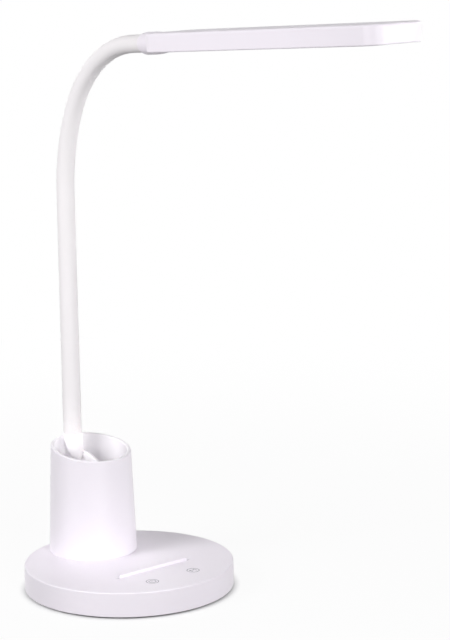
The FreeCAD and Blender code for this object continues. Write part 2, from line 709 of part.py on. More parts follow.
def side_run(side):
    """The points of a lead past the battery and into the plug at one end of the control board."""
    x = side * LEAD_SIDE_X
    plug_y = sum(SIDE_PLUG_Y) / 2
    return [
        vec(x, CUP_Y - 14, LEAD_FLOOR_Z),
        vec(x, battery_span()[0], LEAD_FLOOR_Z),
        vec(x, BOARD_BACK_Y - 2, plug_z()),
        vec(x, plug_y, plug_z()),
        vec(side * SIDE_PLUG_X[1], plug_y, plug_z()),
    ]


def lead_root():
    """The lamp lead from the control board, up through the stud, to the neck's first pivot."""
    top, _ = neck_station(pivots()[0] - LEAD_R - SLIP_GAP)
    corner = vec(0, NECK_Y, LEAD_FLOOR_Z)
    turn_off = vec(0, NECK_Y - 8, LEAD_FLOOR_Z)
    radii = [LEAD_EXIT_R] + [LEAD_WIDE_R] * 4 + [LEAD_PLUG_R]
    bar = swept(rounded_path([top, corner, turn_off] + side_run(1), radii), LEAD_R)
    return union([bar, Part.makeSphere(LEAD_R, top)])


def inlet_lead():
    """The lead from the charging inlet's board to the control board."""
    board_top = INLET_Z - INLET_H / 2
    start_y = inlet_board_back() - INLET_BOARD_Y + 2.5
    start = vec(-4, start_y, board_top + LEAD_R)
    level = vec(-4, start_y - 4, board_top + LEAD_R)
    over = vec(-7, BALLAST_NOTCH_Y + 1, LEAD_FLOOR_Z)
    radii = [LEAD_PLUG_R] + [LEAD_WIDE_R] * 4 + [LEAD_PLUG_R]
    return swept(rounded_path([start, level, over] + side_run(-1), radii), LEAD_R)


def battery_lead():
    """The short lead from the cell to the plug at the control board's back edge."""
    return Part.makeCylinder(LEAD_R, BATTERY_LEAD_RUN, vec(0, battery_span()[0], plug_z()), vec(0, -1, 0))


def inlet():
    """The charging inlet: a thin stadium shell round a tongue."""
    back = BASE_R - INLET_FACE_SET_BACK
    front = back - INLET_DEPTH
    rear_wall = 1.2
    shell = slot_bar(INLET_W, INLET_H, front, back, INLET_Z)
    hollow = slot_bar(INLET_W - 2 * INLET_SHELL, INLET_H - 2 * INLET_SHELL, front + rear_wall, back, INLET_Z)
    tongue = box(-INLET_TONGUE_W / 2, INLET_TONGUE_W / 2, front + rear_wall / 2, back - 2 * INLET_SHELL,
                 INLET_Z - INLET_TONGUE_T / 2, INLET_Z + INLET_TONGUE_T / 2)
    return union([less(shell, [hollow]), tongue])


def inlet_board():
    """The small board that carries the charging inlet."""
    top = INLET_Z - INLET_H / 2
    back = inlet_board_back()
    return box(-INLET_BOARD_X / 2, INLET_BOARD_X / 2, back - INLET_BOARD_Y, back, top - INLET_BOARD_T, top)


def foot_pad():
    """The rubber pad that the lamp stands on, in the bottom cover's recess; it hides the base's screws."""
    pad = cylinder(FOOT_R, 0, FOOT_PROUD + FOOT_RECESS)
    return pad.makeFillet(FOOT_PROUD / 3, edges_at_height(pad, 0))


def touch_pads():
    """Two conductive foam pads between the control board and the roof, under the touch marks."""
    roof_z = BASE_TOP_Z - BASE_ROOF
    return [cylinder(TOUCH_PAD_R, roof_z - BOARD_DROP, roof_z, x, y) for x, y in touch_centres()]


def stroke(x0, y0, x1, y1):
    """One printed line on the base's top."""
    length = math.hypot(x1 - x0, y1 - y0)
    bar = box(-length / 2, length / 2, -ICON_LINE / 2, ICON_LINE / 2, 0, ICON_T)
    bar.rotate(vec(0, 0, 0), UP, math.degrees(math.atan2(y1 - y0, x1 - x0)))
    bar.translate(vec((x0 + x1) / 2, (y0 + y1) / 2, BASE_TOP_Z))
    return bar


def icon_ring(x, y, radius):
    """A printed ring on the base's top."""
    outer = cylinder(radius, BASE_TOP_Z, BASE_TOP_Z + ICON_T, x, y)
    return less(outer, [cylinder(radius - ICON_LINE, BASE_TOP_Z, BASE_TOP_Z + ICON_T, x, y)])


def touch_marks():
    """The two printed touch marks: an on-off sign and a mode sign, each in a ring."""
    (power_x, power_y), (mode_x, mode_y) = touch_centres()
    half = ICON_RING_R * 0.45
    gap = box(power_x - half / 2, power_x + half / 2, power_y, power_y + ICON_RING_R, 0, 2 * BASE_TOP_Z)
    inner = less(icon_ring(power_x, power_y, ICON_RING_R * 0.6), [gap])
    bar = stroke(power_x, power_y, power_x, power_y + ICON_RING_R * 0.6)
    zigzag = [(-half, -half), (-half, half), (0, 0), (half, half), (half, -half)]
    strokes = [stroke(mode_x + a, mode_y + b, mode_x + c, mode_y + d)
               for (a, b), (c, d) in zip(zigzag, zigzag[1:])]
    rings = [icon_ring(x, y, ICON_RING_R) for x, y in touch_centres()]
    return rings + [inner, bar, union(strokes)]


def phone_rest():
    """The raised bar that stops a phone's lower edge, seated in its groove."""
    floor_z = BASE_TOP_Z - REST_GROOVE_DEPTH
    top = BASE_TOP_Z + REST_PROUD
    bar = box(-REST_HALF, REST_HALF, REST_Y - REST_T / 2, REST_Y + REST_T / 2, floor_z, top)
    return bar.makeFillet(0.3, edges_at_height(bar, top))


def cup_cone(inset, z0, z1):
    """A cone with the cup's taper, a given distance inside its outer face."""
    slope = (CUP_RIM_R - CUP_FOOT_R) / (CUP_RIM_Z - BASE_TOP_Z)
    low = CUP_FOOT_R + slope * (z0 - BASE_TOP_Z) - inset
    high = CUP_FOOT_R + slope * (z1 - BASE_TOP_Z) - inset
    return Part.makeCone(low, high, z1 - z0, vec(0, CUP_Y, z0))


def above_rim():
    """Everything above the cup's sloping rim."""
    reach = 4 * CUP_FOOT_R
    tool = box(-reach, reach, -reach, reach, 0, reach)
    tool.rotate(vec(0, 0, 0), ACROSS, math.degrees(math.atan(CUP_RIM_SLOPE)))
    tool.translate(vec(0, CUP_Y, CUP_RIM_Z))
    return tool


def collar():
    """The boss that holds the neck at the rim; its underside slants down to the rib at its front."""
    low_z = COLLAR_FRONT_Z - 2.0
    ring_t = 3.0
    boss = cylinder(COLLAR_R, low_z, COLLAR_TOP_Z, 0, NECK_Y)
    boss = boss.makeFillet(CUP_RIM_ROUND, edges_at_height(boss, COLLAR_TOP_Z))
    reach = 4 * COLLAR_R
    under = box(-reach, reach, -reach, reach, -2 * reach, 0)
    under.rotate(vec(0, 0, 0), ACROSS, math.degrees(math.atan(COLLAR_UNDER_SLOPE)))
    under.translate(vec(0, NECK_Y - COLLAR_R, COLLAR_FRONT_Z))
    kept = cylinder(2 * COLLAR_R, COLLAR_TOP_Z - ring_t, COLLAR_TOP_Z, 0, NECK_Y)
    return less(boss, [less(under, [kept])])


def rib():
    """The partition from the neck to the cup's front wall, with its top sloping down to the front."""
    floor_z = BASE_TOP_Z + CUP_FLOOR / 2
    front = CUP_Y - CUP_FOOT_R
    outline = [(NECK_Y, floor_z), (front, floor_z), (front, RIB_FRONT_Z), (RIB_CREST_Y, RIB_TOP_Z),
               (NECK_Y, RIB_TOP_Z)]
    corners = [vec(RIB_X - RIB_T / 2, y, z) for y, z in outline]
    blade = Part.Face(Part.makePolygon(corners + corners[:1])).extrude(vec(RIB_T, 0, 0))
    return blade.common(cup_cone(CUP_WALL / 2, BASE_TOP_Z, COLLAR_TOP_Z))


def pen_cup():
    """The pen cup, with its floor, sloping rim, rib, neck collar and screw bosses."""
    floor_z = BASE_TOP_Z + CUP_FLOOR
    tall_z = COLLAR_TOP_Z + 10
    shell = less(cup_cone(0, BASE_TOP_Z, tall_z), [cup_cone(CUP_WALL, floor_z, tall_z), above_rim()])
    rim = [e for e in shell.Edges if e.BoundBox.ZMin > RIB_FRONT_Z and e.BoundBox.XLength > CUP_RIM_R]
    shell = shell.makeFillet(CUP_RIM_ROUND, rim)
    solids = [shell, rib(), collar()]
    cuts = [cylinder(HOSE_R + SLIP_GAP, floor_z, COLLAR_TOP_Z, 0, NECK_Y),
            cylinder(HOSE_R + ANCHOR_CRIMP_T + SLIP_GAP, floor_z, anchor_top() + NEAR_GAP, 0, NECK_Y),
            cylinder(ANCHOR_FLANGE_R + SLIP_GAP, floor_z, floor_z + ANCHOR_FLANGE_T + NEAR_GAP, 0, NECK_Y),
            cylinder(ANCHOR_R + SLIP_GAP, BASE_TOP_Z, floor_z, 0, NECK_Y)]
    for degrees in CUP_BOSS_ANGLES:
        x, y = on_circle(CUP_BOSS_CIRCLE_R, degrees, 0, CUP_Y)
        solids.append(cylinder(CUP_BOSS_R, BASE_TOP_Z - CUP_BOSS_DROP, floor_z, x, y))
        cuts.append(pilot(CUP_SCREW, x, y, BASE_TOP_Z - CUP_BOSS_DROP))
    return less(union(solids), cuts)


def anchor_top():
    """The top of the stud's crimped cup."""
    return BASE_TOP_Z + CUP_FLOOR + ANCHOR_FLANGE_T + ANCHOR_CRIMP_H


def base_parts():
    """Every piece of the base and the cup."""
    board_under = BASE_TOP_Z - BASE_ROOF - BOARD_DROP - BOARD_T
    pillars = [on_circle(PILLAR_CIRCLE_R, degrees) for degrees in PILLAR_ANGLES]
    bosses = [on_circle(CUP_BOSS_CIRCLE_R, degrees, 0, CUP_Y) for degrees in CUP_BOSS_ANGLES]
    return {
        "base_cover": base_cover(),
        "bottom_cover": bottom_cover(),
        "base_screws": [screw(BASE_SCREW, x, y, base_screw_seat()) for x, y in pillars],
        "foot_pad": foot_pad(),
        "ballast_plate": ballast(),
        "battery_cell": battery(),
        "battery_tape": battery_tape(),
        "battery_lead": battery_lead(),
        "control_board": control_board(),
        "board_parts": board_parts(),
        "board_screws": [screw(BOARD_SCREW, x, y, board_under) for x, y in BOARD_BOSSES],
        "touch_pads": touch_pads(),
        "touch_marks": touch_marks(),
        "charging_inlet": inlet(),
        "inlet_board": inlet_board(),
        "inlet_lead": inlet_lead(),
        "phone_rest": phone_rest(),
        "pen_cup": pen_cup(),
        "cup_screws": [screw(CUP_SCREW, x, y, BASE_TOP_Z - CUP_BOSS_DROP) for x, y in bosses],
        "lead_root": lead_root(),
    }


# ---- head pieces --------------------------------------------------------------------------------------
def on_head(shape):
    """The shape, built in the head's flat frame, moved to the neck's end."""
    end, _ = neck_station(NECK_LENGTH)
    shape.rotate(vec(0, 0, 0), ACROSS, -HEAD_TILT)
    shape.translate(end)
    return shape


def slab(inset, near, far, corner_r, z0, z1):
    """A plate of the head's width less an inset, between two distances from the neck's end."""
    return plate(SLAB_HALF - inset, -far, -near, corner_r, z0, z1)


def ferrule():
    """The bullet-shaped end piece of the neck; its nose runs on under the slab and its tang inside it."""
    flare_r = (FERRULE_FLARE ** 2 + (FERRULE_R - FERRULE_START_R) ** 2) / (2 * (FERRULE_R - FERRULE_START_R))
    half = FERRULE_FLARE / 2
    flare_mid_r = FERRULE_R - flare_r + math.sqrt(flare_r ** 2 - half ** 2)
    flare_start = vec(FERRULE_START_R, 0, 0)
    flare_end = vec(FERRULE_R, 0, FERRULE_FLARE)
    nose_end = SLAB_NEAR + KEEL_RUN
    nose_tip = vec(FERRULE_NOSE_R, 0, nose_end)
    nose_side = vec(FERRULE_R, 0, FERRULE_NOSE_Y)
    nose = Part.Ellipse(nose_tip, nose_side, vec(FERRULE_NOSE_R, 0, FERRULE_NOSE_Y))
    outline = [
        Part.LineSegment(vec(0, 0, 0), flare_start).toShape(),
        Part.Arc(flare_start, vec(flare_mid_r, 0, half), flare_end).toShape(),
        Part.LineSegment(flare_end, nose_side).toShape(),
        Part.ArcOfEllipse(nose, 0, math.pi / 2).toShape(),
        Part.LineSegment(nose_tip, vec(0, 0, nose_end)).toShape(),
        Part.LineSegment(vec(0, 0, nose_end), vec(0, 0, 0)).toShape(),
    ]
    face = Part.Face(Part.Wire(Part.__sortEdges__(outline)))
    bullet = face.revolve(vec(0, 0, 0), UP, 360)
    bullet.rotate(vec(0, 0, 0), ACROSS, 90)
    bullet = less(bullet, [box(-SLAB_HALF, SLAB_HALF, -SLAB_FAR, -SLAB_NEAR, SLAB_BOTTOM, FERRULE_R)])
    neck = box(-TANG_NECK_HALF, TANG_NECK_HALF, -TANG_START - 2, -SLAB_NEAR + 2, *TANG_NECK_Z)
    tang = box(-TANG_HALF, TANG_HALF, -TANG_END, -TANG_START, *TANG_Z)
    x, along = TANG_SCREW_AT
    holes = [cylinder(TANG_SCREW[0] + SLIP_GAP, TANG_Z[0], TANG_Z[1], side * x, -along) for side in (-1, 1)]
    seat = Part.makeCylinder(HOSE_R + SLIP_GAP, FERRULE_NOSE_Y, vec(0, 0, 0), vec(0, -1, 0))
    bore = Part.makeCylinder(HOSE_BORE_R, TANG_END, vec(0, 0, 0), vec(0, -1, 0))
    return less(union([bullet, neck, tang]), [seat, bore] + holes)


def roof_under():
    """The height of the underside of the head's roof."""
    return SLAB_TOP - HEAD_ROOF


def board_top():
    """The height of the LED board's upper face."""
    return roof_under() - LED_BOARD_GAP


def led_columns():
    """The distances of the LED columns from the neck's end, the farthest first."""
    count = 1 + int((LED_FAR - LED_NEAR) / LED_COLUMN_PITCH + 1e-6)
    return [LED_FAR - LED_COLUMN_PITCH * index for index in range(count)]


def standoffs():
    """The plan positions of the LED board's standoffs, each halfway between two LED columns."""
    return [(0.0, LED_COLUMN_PITCH / 2 - along) for along in led_columns()[:-1:STANDOFF_COLUMNS]]


def mirrored(position):
    """A plan position beside the head's middle line and its mirror image, from (across, along)."""
    x, along = position
    return [(-x, -along), (x, -along)]


def head_housing():
    """The head's upper housing: a long tray, open below, with a rounded top edge."""
    outer = slab(0, SLAB_NEAR, SLAB_FAR, SLAB_CORNER_R, SLAB_BOTTOM, SLAB_TOP)
    outer = outer.makeFillet(SLAB_EDGE_ROUND, edges_at_height(outer, SLAB_TOP))
    outer = outer.makeFillet(SLAB_FOOT_ROUND, edges_at_height(outer, SLAB_BOTTOM))
    hollow = slab(HEAD_WALL, SLAB_NEAR + HEAD_WALL, SLAB_FAR - HEAD_WALL, SLAB_CORNER_R - HEAD_WALL,
                  SLAB_BOTTOM, roof_under())
    solids = [less(outer, [hollow])]
    notch_half = TANG_NECK_HALF + SLIP_GAP
    notch_top = TANG_NECK_Z[1] + SLIP_GAP
    cuts = [box(-notch_half, notch_half, -SLAB_NEAR - HEAD_WALL, -SLAB_NEAR, SLAB_BOTTOM, notch_top)]
    for x, y in mirrored(TANG_SCREW_AT):
        solids.append(cylinder(TANG_BOSS_R, TANG_Z[1], roof_under(), x, y))
        cuts.append(pilot(TANG_SCREW, x, y, TANG_Z[0]))
    for x, y in mirrored(FRAME_SCREW_AT):
        solids.append(cylinder(TANG_BOSS_R, SLAB_BOTTOM + FRAME_T, roof_under(), x, y))
        cuts.append(pilot(FRAME_SCREW, x, y, SLAB_BOTTOM + FRAME_SCREW[2]))
    for x, y in standoffs():
        solids.append(cylinder(STANDOFF_R, board_top(), roof_under(), x, y))
        cuts.append(pilot(LED_SCREW, x, y, board_top() - LED_BOARD_T))
    return less(union(solids), cuts)


def window_plate(grow, z0, z1):
    """A plate of the window's outline, grown by a margin all round."""
    return plate(WINDOW_HALF + grow, -WINDOW_FAR - grow, grow - WINDOW_NEAR, WINDOW_CORNER_R + grow, z0, z1)


def head_frame():
    """The head's lower frame, with the window for the diffuser and a lip inside the housing's wall."""
    inset = HEAD_WALL + COVER_GAP
    corner_r = SLAB_CORNER_R - inset
    near, far = SLAB_NEAR + inset, SLAB_FAR - inset
    top = SLAB_BOTTOM + FRAME_T
    base = slab(inset, near, far, corner_r, SLAB_BOTTOM, top)
    lip = slab(inset, near, far, corner_r, top, top + FRAME_LIP_H)
    inner = slab(inset + FRAME_LIP_T, near + FRAME_LIP_T, far - FRAME_LIP_T, corner_r - FRAME_LIP_T,
                 top, top + FRAME_LIP_H)
    notch_half = TANG_HALF + NEAR_GAP
    notch = box(-notch_half, notch_half, -near - 2 * FRAME_LIP_T, -near, top, top + FRAME_LIP_H)
    cuts = [window_plate(0, SLAB_BOTTOM, top)]
    for x, y in mirrored(FRAME_SCREW_AT):
        cuts.append(cylinder(FRAME_SCREW[1] + SLIP_GAP, SLAB_BOTTOM, SLAB_BOTTOM + FRAME_SCREW[2], x, y))
        cuts.append(cylinder(FRAME_SCREW[0] + SLIP_GAP, SLAB_BOTTOM, top, x, y))
    return less(union([base, less(lip, [inner, notch])]), cuts)


def diffuser():
    """The frosted panel: it fills the frame's window and lies on the frame with a ledge all round."""
    top = SLAB_BOTTOM + FRAME_T
    pane = window_plate(-SLIP_GAP, SLAB_BOTTOM, top)
    ledge = window_plate(DIFFUSER_LEDGE, top, SLAB_BOTTOM + DIFFUSER_T)
    return union([pane, ledge])


def led_board():
    """The LED board, an aluminium strip screwed to the housing's standoffs."""
    z1 = board_top()
    blank = plate(LED_BOARD_HALF, -LED_BOARD_FAR, -LED_BOARD_NEAR, 1.0, z1 - LED_BOARD_T, z1)
    holes = [cylinder(LED_SCREW[0] + SLIP_GAP, z1 - LED_BOARD_T, z1, x, y) for x, y in standoffs()]
    return less(blank, holes)


def led_places():
    """The plan positions of the LEDs, in rows along the head."""
    places = []
    for row in range(LED_ROWS):
        x = (row - (LED_ROWS - 1) / 2) * LED_ROW_PITCH
        places += [(x, -along) for along in led_columns()]
    return places


def led_block(x, y, grow, z0, z1):
    """A block of an LED's outline, grown by a clearance."""
    return box(x - LED_X / 2 - grow, x + LED_X / 2 + grow, y - LED_Y / 2 - grow, y + LED_Y / 2 + grow, z0, z1)


def leds():
    """The LEDs under their board."""
    under = board_top() - LED_BOARD_T
    return [led_block(x, y, 0, under - LED_T, under) for x, y in led_places()]


def reflector():
    """The white reflector: a thin tray between the LED board and the diffuser, open over each LED."""
    top = board_top() - LED_BOARD_T
    foot = SLAB_BOTTOM + DIFFUSER_T
    inner_r = REFLECTOR_CORNER_R - REFLECTOR_T
    outer = plate(REFLECTOR_HALF, -REFLECTOR_FAR, -REFLECTOR_NEAR, REFLECTOR_CORNER_R, foot, top)
    hollow = plate(REFLECTOR_HALF - REFLECTOR_T, REFLECTOR_T - REFLECTOR_FAR, -REFLECTOR_T - REFLECTOR_NEAR,
                   inner_r, foot, top - REFLECTOR_T)
    cuts = [led_block(x, y, REFLECTOR_HOLE, top - REFLECTOR_T, top) for x, y in led_places()]
    cuts += [cylinder(LED_SCREW[1] + REFLECTOR_HOLE, top - REFLECTOR_T, top, x, y) for x, y in standoffs()]
    return less(less(outer, [hollow]), cuts)


def lead_head():
    """The lamp lead from the neck's last pivot, through the ferrule, to the LED board."""
    start = pivots()[-1] + LEAD_R + SLIP_GAP
    (climb_y, climb_z), (end_y, end_z) = HEAD_LEAD_END
    first = neck_bar(start, NECK_LENGTH, LEAD_R)
    points = [vec(0, 0, 0), vec(0, -TANG_END - 1, 0), vec(0, -climb_y, climb_z), vec(0, -end_y, end_z)]
    rest = on_head(swept(rounded_path(points, [LEAD_WIDE_R, LEAD_WIDE_R]), LEAD_R))
    return union([lead_end(start), first, rest])


def head_parts():
    """Every piece of the head."""
    under_board = board_top() - LED_BOARD_T
    frame_seat = SLAB_BOTTOM + FRAME_SCREW[2]
    parts = {
        "neck_ferrule": [ferrule()],
        "tang_screws": [screw(TANG_SCREW, x, y, TANG_Z[0]) for x, y in mirrored(TANG_SCREW_AT)],
        "head_housing": [head_housing()],
        "head_frame": [head_frame()],
        "frame_screws": [screw(FRAME_SCREW, x, y, frame_seat) for x, y in mirrored(FRAME_SCREW_AT)],
        "diffuser": [diffuser()],
        "led_board": [led_board()],
        "leds": leds(),
        "led_screws": [screw(LED_SCREW, x, y, under_board) for x, y in standoffs()],
        "reflector": [reflector()],
    }
    placed = {name: [on_head(shape) for shape in shapes] for name, shapes in parts.items()}
    return {name: shapes[0] if len(shapes) == 1 else shapes for name, shapes in placed.items()}


def main():
    """Build every node and write it."""
    os.makedirs("parts", exist_ok=True)
    parts = {**base_parts(), **neck_parts(), **head_parts(), "lead_head": lead_head()}
    for name, shapes in parts.items():
        save(name, shapes)
    for index, s in enumerate(pivots(), start=1):
        point, heading = neck_station(s)
        print(f"pivot {index}: y {point.y:.3f} z {point.z:.3f}, along {heading.y:.5f} {heading.z:.5f}")


main()
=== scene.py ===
"""The looks of a white desk lamp: a round weighted base with a phone rest and touch marks, a pen cup,
a sleeved gooseneck and a slim light head. Everything is in metres, in the part's own frame; sizes that
are written in millimetres are turned into metres where a mesh is made.
"""

import json
import logging
import math
from collections.abc import Iterable, Sequence
from dataclasses import dataclass
from enum import Enum
from functools import cache
from typing import ClassVar

import bmesh
import bpy
from mathutils import Matrix, Vector

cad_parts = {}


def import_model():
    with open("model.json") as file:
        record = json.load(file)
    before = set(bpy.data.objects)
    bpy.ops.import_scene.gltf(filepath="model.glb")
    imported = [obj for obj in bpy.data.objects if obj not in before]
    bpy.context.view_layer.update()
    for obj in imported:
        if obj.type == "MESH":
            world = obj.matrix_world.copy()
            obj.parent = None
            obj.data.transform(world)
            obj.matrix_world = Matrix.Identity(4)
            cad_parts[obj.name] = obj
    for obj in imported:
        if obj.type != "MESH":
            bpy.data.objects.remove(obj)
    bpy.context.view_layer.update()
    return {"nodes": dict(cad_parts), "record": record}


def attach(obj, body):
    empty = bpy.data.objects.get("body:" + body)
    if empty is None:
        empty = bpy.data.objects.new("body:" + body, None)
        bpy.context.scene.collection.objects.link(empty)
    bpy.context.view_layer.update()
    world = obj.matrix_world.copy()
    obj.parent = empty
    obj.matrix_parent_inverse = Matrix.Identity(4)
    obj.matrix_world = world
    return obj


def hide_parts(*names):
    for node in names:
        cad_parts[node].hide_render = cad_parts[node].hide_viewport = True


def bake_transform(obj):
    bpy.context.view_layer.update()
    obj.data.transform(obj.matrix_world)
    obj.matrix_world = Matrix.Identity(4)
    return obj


MM = 0.001
LOG = logging.getLogger("lamp")

Colour = tuple[float, float, float]
Triple = tuple[float, float, float]
Pair = tuple[float, float]
Ring = list[Vector]

# Places and sizes in millimetres that more than one sub-assembly is built to.
BASE_TOP_Z = 16.2
CUP_Y = 36.3
CUP_BOSS_CIRCLE = 20.0
CUP_BOSS_TURNS = (30.0, 150.0, 270.0)
NECK_Y = 54.9
STUD_HOLE_R = 5.05
HOSE_SEAT_R = 4.35
COLLAR_TOP_Z = 88.2

# How far a form reaches into the one it is joined to, and a cutter past the face it goes through.
OVERLAP = 0.5
THROUGH = 1.0


# ---- shader building --------------------------------------------------------------------------------
class Signal:
    """A number that changes over a surface: a node socket that takes part in arithmetic."""

    def __init__(self, tree: "ShaderTree", socket: bpy.types.NodeSocket) -> None:
        """Wrap a socket of a tree.

        Args:
            tree: The tree that new Math nodes are added to.
            socket: The output socket that holds the number.
        """
        self.tree = tree
        self.socket = socket

    def __add__(self, other: "Signal | float") -> "Signal":
        """The sum of two numbers."""
        return self.tree.maths("ADD", self, other)

    def __radd__(self, other: float) -> "Signal":
        """The sum, with the plain number first."""
        return self.tree.maths("ADD", other, self)

    def __sub__(self, other: "Signal | float") -> "Signal":
        """The difference of two numbers."""
        return self.tree.maths("SUBTRACT", self, other)

    def __rsub__(self, other: float) -> "Signal":
        """The difference, with the plain number first."""
        return self.tree.maths("SUBTRACT", other, self)

    def __mul__(self, other: "Signal | float") -> "Signal":
        """The product of two numbers."""
        return self.tree.maths("MULTIPLY", self, other)

    def __rmul__(self, other: float) -> "Signal":
        """The product, with the plain number first."""
        return self.tree.maths("MULTIPLY", other, self)

    def __pow__(self, other: float) -> "Signal":
        """The number raised to a power."""
        return self.tree.maths("POWER", self, other)

    def most(self, other: "Signal | float") -> "Signal":
        """The larger of two numbers."""
        return self.tree.maths("MAXIMUM", self, other)

    def size(self) -> "Signal":
        """The number without its sign."""
        return self.tree.maths("ABSOLUTE", self, 0.0)

    def folded(self, length: float) -> "Signal":
        """The number folded back and forth between 0 and a length."""
        return self.tree.maths("PINGPONG", self, length)

    def eased(self, low: float, high: float) -> "Signal":
        """A smooth step of the number.

        Args:
            low: Where the step starts, at 0.
            high: Where it ends, at 1; it may be below low.

        Returns:
            A number from 0 to 1.
        """
        made = self.tree.node(
            "ShaderNodeMapRange",
            {"interpolation_type": "SMOOTHSTEP"},
            {"Value": self, "From Min": low, "From Max": high},
        )
        return Signal(self.tree, made.outputs["Result"])


class ShaderTree:
    """The nodes of one material or world, with the few kinds of step that the finishes need."""

    def __init__(self, tree: bpy.types.NodeTree) -> None:
        """Start from an empty tree.

        Args:
            tree: The node tree to fill; its nodes are removed.
        """
        self.tree = tree
        tree.nodes.clear()

    def node(self, kind: str, settings: dict[str, object], inputs: dict[str | int, object]) -> bpy.types.Node:
        """Add a node, set its options first and then its sockets.

        Args:
            kind: The node's type.
            settings: Options by name, such as an operation.
            inputs: Values or links by socket name or number.

        Returns:
            The new node.
        """
        made = self.tree.nodes.new(kind)
        for name, value in settings.items():
            setattr(made, name, value)
        for key, value in inputs.items():
            if isinstance(value, Signal):
                self.tree.links.new(value.socket, made.inputs[key])
            elif isinstance(value, bpy.types.NodeSocket):
                self.tree.links.new(value, made.inputs[key])
            else:
                made.inputs[key].default_value = value
        return made

    def maths(self, operation: str, first: "Signal | float", second: "Signal | float") -> Signal:
        """One Math node, from two numbers or signals."""
        made = self.node("ShaderNodeMath", {"operation": operation}, {0: first, 1: second})
        return Signal(self, made.outputs[0])

    def place(self) -> bpy.types.NodeSocket:
        """The point on the surface, in the piece's own frame, in metres."""
        return self.node("ShaderNodeTexCoord", {}, {}).outputs["Object"]

    def axes(self) -> tuple[Signal, Signal, Signal]:
        """The point's three coordinates.

        Returns:
            The coordinates across, along and up, in metres.
        """
        parts = self.node("ShaderNodeSeparateXYZ", {}, {"Vector": self.place()})
        x, y, z = (Signal(self, parts.outputs[i]) for i in range(3))
        return x, y, z

    def stretched(self, scale: Triple) -> bpy.types.NodeSocket:
        """The point, scaled by an amount along each axis."""
        made = self.node("ShaderNodeVectorMath", {"operation": "MULTIPLY"}, {0: self.place(), 1: scale})
        return made.outputs[0]

    def noise(self, scale: float, detail: float = 2.0, place: bpy.types.NodeSocket | None = None) -> Signal:
        """Soft random cloud from 0 to 1, with a given number of features per metre."""
        inputs = {"Vector": place or self.place(), "Scale": scale, "Detail": detail}
        return Signal(self, self.node("ShaderNodeTexNoise", {}, inputs).outputs[0])

    def cells(self, scale: float) -> Signal:
        """Distance to the nearest of many scattered points, with a given number per metre."""
        made = self.node("ShaderNodeTexVoronoi", {}, {"Vector": self.place(), "Scale": scale})
        return Signal(self, made.outputs["Distance"])

    def blended(self, first: object, second: object, share: Signal) -> bpy.types.NodeSocket:
        """A colour between two colours.

        Args:
            first: The colour at share 0, as a value or a socket.
            second: The colour at share 1.
            share: How much of the second.

        Returns:
            The mixed colour's socket.
        """
        colours = [(*c, 1.0) if isinstance(c, tuple) else c for c in (first, second)]
        made = self.node(
            "ShaderNodeMix", {"data_type": "RGBA"}, {"Factor": share, 6: colours[0], 7: colours[1]}
        )
        return made.outputs[2]


# ---- finishes ---------------------------------------------------------------------------------------
class Grain(Enum):
    """What a surface shows close up."""

    SPARKED = "fine even texture of a mould that was spark eroded"
    RUBBED = "soft matt skin of silicone or rubber"
    DRAWN = "fine lines along Z, as on drawn or turned metal"
    FOAMED = "small open cells"
    ETCHED = "copper tracks under a solder mask"
    CREASED = "shallow creases of a foil pouch"
    WOUND = "faint spiral of a wound strip under its coat"


